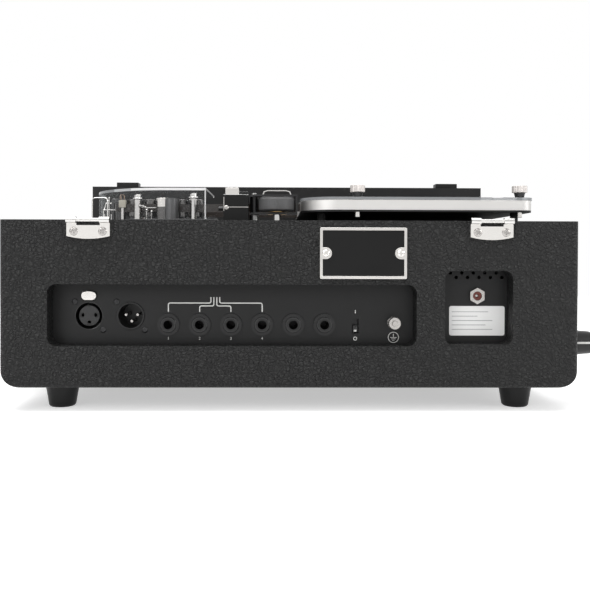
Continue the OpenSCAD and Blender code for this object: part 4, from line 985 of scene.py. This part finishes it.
def rollerPieces():
    # The grey tyre on a brass bush.
    roller = {"bore": 2.95, "flange": 3, "wall": 1.5, "gap": 0.5, "ring": 0.6, "tread": 1.9}
    r, h = (rollerHigh.x - rollerLow.x) / 2, rollerHigh.z - rollerLow.z
    bore, ring = roller["bore"], r - roller["ring"]
    flange, wall = bore + roller["flange"], bore + roller["wall"]
    tyre = turned(mirrored([(wall + 0.1, roller["gap"]), (ring, roller["gap"]), (ring, 1.4),
                            (r - 0.2, 1.5), (r, roller["tread"])], h), 64)
    bush = turned(mirrored([(bore, 0), (flange, 0), (flange, 0.6), (wall, 0.9)], h), 40)
    place, node = at(rollerMid.x, rollerMid.y, rollerLow.z), "pinch_roller"
    asPiece("rollerTyre", [(tyre, place)], "rollerRubber", node, (node,))
    asPiece("rollerBush", [(bush, place)], "bronze", node)


def solenoidPieces():
    # The coil in its frame, with a bright edge, a ledge and a round head.
    coil = {"plate": (21.2, 22.5), "caps": 22.6, "split": 12, "end": 19.3, "thick": 0.7,
            "edge": (0.6, 20.5), "ledge": (4.4, 12.9), "head": (2.4, 12.3), "sunk": 0.35}
    left = spot("solenoid")[0].x
    plate, plateEnd = (deckTop + up for up in coil["plate"])
    caps, split, end = deckTop + coil["caps"], left + coil["split"], left + coil["end"]
    piece = finer("solenoid", 0.25, finish="mouldedBrown")
    patch(piece, "nickel", lambda c, n: c.z > caps and c.x < split)
    patch(piece, "black_plastic", lambda c, n: c.z > caps and split < c.x < end)
    patch(piece, "steel", lambda c, n: plate < c.z < plateEnd or c.x > end)
    finer("solenoid_plunger", 0.2, finish="blackedSteel")
    front = min(v.co.y for v in piece.data.vertices if v.co.x < (left + 18) * mm) / mm
    rows = [(coil["edge"], bar(-0.3, -10.5, 0.3, 0, coil["thick"])),
            (coil["ledge"], bar(0, -0.3, 14.6, 0.3, coil["thick"])),
            (coil["head"], crossScrew(4.4, 1.1))]
    asPiece("coilFrame", [rearMark(left + x, deckTop + z, mesh, front, -coil["sunk"])
                          for (x, z), mesh in rows], "wornSteel")


rollerPieces()
patch(finer("pinch_arm", 0.15, finish="blackedSteel"), "chrome",
      lambda c, n: c.z > rollerHigh.z + 1.82 or c.z < rollerLow.z - 1.9)
solenoidPieces()
print("drive dressed")


# Heads, guides and the clear cover over them.

plateTop = spot("head_plate")[1].z
finer("head_plate", 0.4, finish="greyPlate")
for node in ("erase_head", "record_head", "playback_heads"):
    back = spot(node)[0].y
    patch(finer(node, 0.35, 3, "headCan"), "headFace", lambda c, n: c.y < back + 2.6)
headMiddles = [spot("erase_head")[2].x, spot("record_head")[2].x]
headMiddles += [spot("playback_heads")[0].x + 5.3 + i * (headMiddles[1] - headMiddles[0])
                for i in range(3)]


def headDetails():
    # A gap line down each nose, and four pins with two leads behind each can.
    pin = {"across": 1.8, "up": 2.2, "lead": 0.8, "bend": 2.5}
    low, high, mid = spot("record_head")
    gaps = ((bar(-0.09, -6.2, 0.09, 6.2, 0.05), 0.01), (bar(-1.6, -5.4, 1.6, -3.2, 0.05), -0.15))
    asPiece("headGaps", [rearMark(x, mid.z, mesh, low.y, lift) for mesh, lift in gaps
                         for x in headMiddles], "glossBlack")
    part = turned([(0, 0), (0.35, 0), (0.35, 2.6), (0.2, 2.8), (0, 2.8)], 10)
    spots = [(x + s * pin["across"], high.y - 0.05, mid.z + t * pin["up"])
             for x in headMiddles for s in (-1, 1) for t in (-1, 1)]
    turns = [tuple(spin(-90, "X").to_euler())] * len(spots)
    asPiece("headPins", strewn(part, spots, turns, "bronze"), None)
    rng = random.Random(21)
    for tone, side in (("leadRed", -1), ("leadWhite", 1)):
        runs = []
        for x in headMiddles:
            drift = rng.uniform(-1.5, 1.5)
            out = x + side * pin["across"]
            runs.append(wire([(out, high.y + 2.0, mid.z + pin["up"]),
                              (out, high.y + 5, mid.z + 2.4),
                              (x + side * 1.2 + drift, high.y + 7 + drift, mid.z - 3),
                              (x + side * 0.7 + drift, high.y + 8, plateTop + 0.2)],
                             tone, pin["lead"], pin["bend"]))
        asPiece(tone + "Leads", runs, tone)


def guidePosts():
    # Chrome, but for the drum's two halves and the last post. The drum is one cylinder with
    # painted light: nickel on its upper half as a painted highlight, dark metal on its lower half
    # as a painted reflection.
    guide = {"drum": (-107, -94), "half": 150, "last": -130}
    left, right = guide["drum"]
    posts = finer("guide_posts", 0.25, 3, "chrome")
    posts.data = sliced(posts.data, ((0, 0, guide["half"]), (0, 0, 1)))
    # Painted highlight above the cut, painted reflection below it.
    patch(posts, "nickel", lambda c, n: left < c.x < right and c.z > guide["half"])
    patch(posts, "headFace", lambda c, n: left < c.x < right and c.z <= guide["half"])
    patch(posts, "greyPlate", lambda c, n: c.x < guide["last"])
    finer("tension_arm", 0, finish="chrome")


def clearCover():
    # The bent sheet: its cut ends and the right part of its upper bend get painted highlights,
    # which step down leftwards along the bend to painted half light and painted grey.
    bend = {"high": 1.9, "fade": -124, "dim": -138, "tab": 8, "end": 1.1}
    high = spot("head_cover")[1]
    endX, bendZ, fade, dim = high.x - bend["tab"], high.z - bend["high"], bend["fade"], bend["dim"]
    mesh = sliced(finerMesh("head_cover", 0.15), ((0, 0, bendZ), (0, 0, 1)),
                  ((endX - bend["end"], 0, 0), (1, 0, 0)))
    sheet = asPiece("coverSheet", mesh, "clear_sheet",
                    nodes["head_cover"]["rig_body"], ("head_cover",))
    patch(sheet, "brightEdge",
          lambda c, n: (abs(n.z) < 0.6 and endX - bend["end"] < c.x < endX + 0.3)
          or (c.z > bendZ and n.y < -0.3 and c.x > fade))
    # Leftwards along the bend the painted highlight steps down to painted half light, then to
    # painted grey.
    for finish, first, last in (("midEdge", dim, fade), ("sheetEdge", -200, dim)):
        patch(sheet, finish, lambda c, n: c.z > bendZ and abs(n.z) < 0.6 and first < c.x <= last)


headDetails()
guidePosts()
clearCover()
print("heads dressed")


# Small parts by the heads.

def feelerParts():
    # A rod, a bracket, the terminal block's leg and a sprung feeler with its arm.
    side = {"rod": (-147.3, -62), "bracket": (-152, -64.2, -60.2), "step": -142, "up": 8.4,
            "feelers": ((-112.7, -84.0, 0), (-109.1, -82.5, -1.2)), "arm": 149.2,
            "spring": (-118.6, -84.0, 151.1), "run": 5.6, "fall": 1.9, "r": 1.15, "turns": 6}
    back, y0, y1 = side["bracket"]
    rod = turned([(0, 0), (0.55, 0), (0.55, 19.2), (0.3, 19.5), (0, 19.5)], 14)
    step = bar(back, y0, side["step"], y1, 0.9, plateTop + side["up"], 0.25)
    ear = bar(back, y0, back + 0.9, y1, 8.6, plateTop, 0.2)
    feeler = turned([(0, 0), (0.8, 0), (0.8, 6.8), (1.3, 7.2), (1.3, 8.0), (0.7, 8.7), (0, 8.9)],
                    20)
    parts = [(rod, at(*side["rod"], plateTop)), step, ear,
             (peg(1.2, 0, 9.9, 20), at(*terminal["at"], plateTop))]
    parts += [(feeler, at(x, y, plateTop + z)) for x, y, z in side["feelers"]]
    y, z = side["feelers"][0][1], side["arm"]
    parts.append(wire([(-113.4, y, z), (-106, y, z), (-103.2, y + 1.6, z)], "chrome", 1.1, 1.0))
    x, y, z = side["spring"]
    steps = 12 * side["turns"]
    coil = []
    for i in range(steps + 1):
        across, up = polar(side["r"], 30 * i)
        coil.append((x + side["run"] * i / steps, y + across, z - side["fall"] * i / steps + up))
    parts.append(wire(coil, "chrome", 0.5, 0.2))
    asPiece("feelerParts", parts, "chrome")


terminal = {"at": (-132.9, -78.5), "box": (5.5, 4.4, 0.5), "high": 5.9, "level": 149.7,
            "out": 1.3, "lead": 0.6, "bend": 1.6}


def terminalParts():
    # The pale block, and two leads that run from it down to the plate.
    x, y = terminal["at"]
    bores = [(peg(0.9, 4, 7, 16), at(s * terminal["out"], 0, 0)) for s in (-1, 1)]
    block = cut(pressed(roundedBox(*terminal["box"]), 0, terminal["high"], 0.3), joined(*bores))
    asPiece("terminalBlock", [(block, at(x, y, terminal["level"]))], "palePlastic")
    leads = [wire([(x + s, y, 155), (x + s, y, 158.4 + s), (x - 2.4, y + 4, 160.4),
                   (x - 5, y + 10, 155 - 2 * s), (-141.6, -62 + s, 149),
                   (-142, -60 + s, plateTop + 0.3)], "leadBrass", terminal["lead"],
                  terminal["bend"]) for s in (-terminal["out"], terminal["out"])]
    asPiece("terminalLeads", leads, "leadBrass")


def wireBow():
    # A bent wire that stands behind the round end of the cover.
    bow = {"x": (-153.1, -141.2), "y": -95.0, "top": 156.2, "thick": 1.0, "bend": 2.6}
    (left, right), y, foot = bow["x"], bow["y"], deckTop - 0.2
    points = [(left, y, foot), (left, y, bow["top"]), (right, y, bow["top"]), (right, y, foot)]
    collar = turned([(0, 0), (1.5, 0), (1.5, 1.6), (0.9, 2.2), (0, 2.2)], 20)
    asPiece("wireBow", [wire(points, "chrome", bow["thick"], bow["bend"]),
                        *[(collar, at(x, y, deckTop)) for x in (left, right)]], "chrome")


def headShield():
    # A curved screen that stands before the last heads.
    curve = {"r": 5.6, "x": -92.6, "y": -86.0, "high": 156.6, "thick": 0.5}
    arc = []
    for angle in range(-150, 31, 12):
        x, y = polar(curve["r"], angle)
        arc.append((curve["x"] + x, curve["y"] + y, (plateTop + curve["high"]) / 2))
    asPiece("headShield", ribbon(arc, "headCan", curve["thick"], curve["high"] - plateTop, 0.2),
            None)


def postCaps():
    # A thin disc on two of the guide posts, and a cup on the right-hand one of them.
    disc = turned([(0, 0), (1.9, 0), (2.0, 0.15), (2.0, 0.6), (1.8, 0.8), (0, 0.8)], 28)
    cup = turned([(2.66, 0), (3.0, 0), (3.6, 2.6), (3.6, 3.4), (2.66, 3.4), (2.66, 0)], 36)
    rows = ((disc, -120.35, 159.5), (disc, -75.95, 160.5), (cup, -75.95, 153.0))
    asPiece("postCaps", [(mesh, at(x, -79.9, z)) for mesh, x, z in rows], "chrome")


feelerParts()
terminalParts()
wireBow()
headShield()
postCaps()
print("small parts made")


# Controls.

slopeUp = Vector(joints["input_turn"]["axis"]).normalized()
slopeRight = Vector((-1, 0, 0))
slopeAlong = slopeUp.cross(slopeRight)
faceLevel = pivot("input_turn").dot(slopeUp) - 8


def onFace(point, across=0.0, up=0.0, lift=0.0):
    # Stands on the control face below a point: x to the right, y up the slope.
    ground = point - slopeUp * (point.dot(slopeUp) - faceLevel)
    place = (ground + slopeRight * across + slopeAlong * up + slopeUp * lift) * mm
    turn = Matrix((slopeRight, slopeAlong, slopeUp)).transposed().to_4x4()
    return Matrix.Translation(place) @ turn


knobNames = ("input", "echo", "reverb", "bass", "treble", "repeat")
knobTop = max(v.co.dot(slopeUp) for v in nodes["input_knob"].data.vertices) / mm - faceLevel


def scaleMarks(point, radius, long, figure, labels):
    # Eleven ticks round a knob from seven to five o'clock, with plain figures.
    parts = []
    for i in range(11):
        angle = 30 * i - 150
        place = onFace(point, *clockwise(angle, radius), 0.02)
        parts.append((bar(-0.2, 0, 0.2, long), place @ spin(-angle)))
        if labels(i):
            place = onFace(point, *clockwise(angle, radius + long + figure * 0.75), 0.03)
            parts.append((lettered(labels(i), figure), place))
    return parts


def controlMarks():
    size = {"knobR": 14.6, "tick": 1.7, "figure": 2.3, "selectorR": 18.9, "selectorTick": 1.4,
            "rocker": 15.5}
    parts = []
    for name in knobNames:
        parts += scaleMarks(pivot(name + "_turn"), size["knobR"], size["tick"], size["figure"],
                            lambda i: str(i) if i % 2 == 0 else "")
    parts += scaleMarks(pivot("selector_turn"), size["selectorR"], size["selectorTick"],
                        size["figure"], lambda i: str(i + 1))
    rock = pivot("power_rock")
    parts.append((bar(-0.25, -1.2, 0.25, 1.2), onFace(rock, 0, size["rocker"], 0.02)))
    parts.append((ringMesh(1.3, 0.85), onFace(rock, 0, -size["rocker"], 0.02)))
    asPiece("controlMarks", parts, "whiteInk")


def controlKnobs():
    # Each knob with its cap ring and white pointer.
    knob = {"capR": 7.9, "cap": 0.3, "gap": 0.62, "line": 0.48, "reach": 10.6, "sunk": 0.55}
    r, top = knob["capR"], knob["cap"]
    cap = [(0, -0.05), (r - top, -0.05), (r, 0.1), (r, 0.22), (r - top, top), (0, top)]
    for name in knobNames:
        body = nodes[name + "_knob"]["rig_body"]
        finer(name + "_knob", 0.3)
        place = onFace(pivot(name + "_turn"), lift=knobTop)
        ring = cut(turned(cap, 56), bar(-knob["gap"], 0, knob["gap"], r + 1.1, 2, -1))
        asPiece(name + "Cap", [(ring, place)], "greyPlate", body)
        pointer = bar(-knob["line"], 0.2, knob["line"], knob["reach"], 0.5)
        asPiece(name + "Pointer", [(pointer, place @ at(0, 0, -knob["sunk"]))], "whiteInk",
                body)


def selectorPieces():
    # The line on top of the selector's bar.
    selector = {"line": 0.5, "from": 4, "to": 14.3, "top": 16.98}
    finer("mode_selector", 0.8, 3)
    line = bar(-selector["line"], selector["from"], selector["line"], selector["to"], 0.12)
    place = onFace(pivot("selector_turn"), lift=selector["top"])
    asPiece("selectorPointer", [(line, place)], "whiteInk",
            nodes["mode_selector"]["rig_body"])


def meterPieces():
    # The card with its arc, the bezel's glass and the needle.
    finer("meter_body", 0.6, 3)
    finer("meter_needle", 0.08)
    hub = pivot("needle_swing")
    meter = {"w": 49.4, "h": 27.6, "up": 11.0, "arcR": 16.6, "end": 48, "ticks": 13, "red": 20,
             "figure": 2.1, "level": 1.23}
    w, h, r, end, level = (meter[key] for key in ("w", "h", "arcR", "end", "level"))
    card = pressed(roundedBox(w, h, 0.6), 1.02, 1.2)
    asPiece("meterCard", [(card, onFace(hub, 0, meter["up"]))], "meterCard")
    arc = [(*clockwise(a, r), 0) for a in range(-end, end + 1, 4)]
    marks = [(ribbon(arc, "glossBlack", 0.35, 0.06, 0.1), onFace(hub, 0, 0, level))]
    for i in range(meter["ticks"]):
        angle = 2 * end * i / (meter["ticks"] - 1) - end
        tick = bar(-0.12, 0, 0.12, 2.2 if i % 3 == 0 else 1.3, 0.04)
        marks.append((tick, onFace(hub, *clockwise(angle, r), 1.2) @ spin(-angle)))
        if i % 3 == 0:
            marks.append((lettered(str(i * 10 // 3), meter["figure"]),
                          onFace(hub, *clockwise(angle, r + 3.6), level)))
    asPiece("meterMarks", marks, "glossBlack")
    red = [(*clockwise(a, r + 0.7), 0) for a in range(meter["red"], end + 1, 4)]
    asPiece("meterRed", [(ribbon(red, "redInk", 0.9, 0.05, 0.1), onFace(hub, 0, 0, level))],
            "redInk")
    glass = pressed(roundedBox(w + 0.4, h + 0.2, 0.8), 4.1, 4.7, 0.15)
    asPiece("meterGlass", [(glass, onFace(hub, 0, meter["up"]))], "clear_sheet")


def rockerMarks():
    # A line and a ring on the two slopes of the rocker.
    rocker = {"out": 5.4, "rise": 1.0, "run": 9.5, "level": 2.37}
    finer("power_switch", 0.4)
    finer("power_switch_frame", 0.3)
    out, tilt = rocker["out"], math.degrees(math.atan2(rocker["rise"], rocker["run"]))
    lift = rocker["level"] + out / rocker["run"]
    marks = ((1, bar(-0.3, -1.6, 0.3, 1.6, 0.08)), (-1, ringMesh(1.7, 1.15, 0.08)))
    asPiece("rockerMarks", [(mark, onFace(pivot("power_rock"), 0, side * out, lift)
                             @ spin(side * tilt, "X")) for side, mark in marks], "whiteInk",
            nodes["power_switch"]["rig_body"])


def housingScrews():
    # Black screws at the corners of the control face.
    place = {"head": (5.6, 0.9), "in": 9, "up": 38}
    low, high = spot("control_housing")[:2]
    level = pivot("selector_turn")
    turn = onFace(level).to_3x3().to_4x4()
    rng = random.Random(31)
    spots, turns = [], []
    for x in (low.x + place["in"], high.x - place["in"]):
        for up in (place["up"], -place["up"]):
            spots.append(onFace(Vector((x, level.y, level.z)), 0, up).translation / mm)
            spun = Matrix.Rotation(rng.random() * 3, 4, "Z")
            turns.append(tuple((turn @ spun).to_euler()))
    asPiece("housingScrews", strewn(crossScrew(*place["head"]), spots, turns, "blackedSteel"),
            None)


finer("control_housing", 0.7, 3)
finer("lid_bumpers", 0.5, 3)
controlMarks()
controlKnobs()
selectorPieces()
meterPieces()
rockerMarks()
housingScrews()
print("controls dressed")


# Handle, keepers, side knob and what is below the deck.

def sideKnob():
    # The speed knob has a white line, which faces the rear at rest.
    line = {"from": 1.5, "short": 2.4, "half": 0.75, "thick": 0.16, "turn": -4, "sunk": 0.08}
    axle, high = pivot("speed_turn"), spot("speed_knob")[1]
    out, r = high.x - axle.x, high.z - axle.z
    finer("speed_knob", 0.3)
    stripe = bar(line["from"], -line["half"], out - line["short"], line["half"], line["thick"])
    place = at(*axle) @ spin(line["turn"], "X") @ at(0, line["sunk"] - r, 0, faceRear)
    asPiece("knobLine", [(stripe, place)], "whiteInk",
            nodes["speed_knob"]["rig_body"])


def plateScrews():
    # Round heads in the drilled plates of the handle and of the lid keepers.
    bracket = {"head": (5.6, 1.0), "out": 88, "up": 9, "plate": 1.6}
    keeper = {"head": (4.6, 0.8), "out": 8.6, "half": 12, "plate": 1.2}
    handle, wall = pivot("handle_swing"), spot("handle_brackets")[1].x
    spots = [(wall - bracket["plate"], handle.y + s * bracket["out"], handle.z + t * bracket["up"])
             for s in (-1, 1) for t in (-1, 1)]
    screwSet("bracketScrews", bracket["head"], spots, spin(180) @ faceRight, 41)
    low, high, mid = spot("latch_keepers")
    spots = [(x + s * keeper["out"], low.y + keeper["plate"], mid.z + t * keeper["out"])
             for x in (low.x + keeper["half"], high.x - keeper["half"])
             for s in (-1, 1) for t in (-1, 1)]
    screwSet("keeperScrews", keeper["head"], spots, spin(180) @ faceRear, 43)


def footScrews():
    # The countersunk screw inside each foot.
    foot = {"head": (6.6, 0.9), "half": 12, "up": 4.0}
    low, high = spot("rubber_feet")[:2]
    spots = [(x, y, foot["up"]) for x in (low.x + foot["half"], high.x - foot["half"])
             for y in (low.y + foot["half"], high.y - foot["half"])]
    screwSet("footScrews", foot["head"], spots, spin(180, "X"), 45)


finer("carry_handle", 1.2, 3)
sideKnob()
plateScrews()
footScrews()
finer("rear_panel", 0.1)
finer("power_panel", 0.1)
finer("circuit_board", 0.15)
print("handle and keepers dressed")
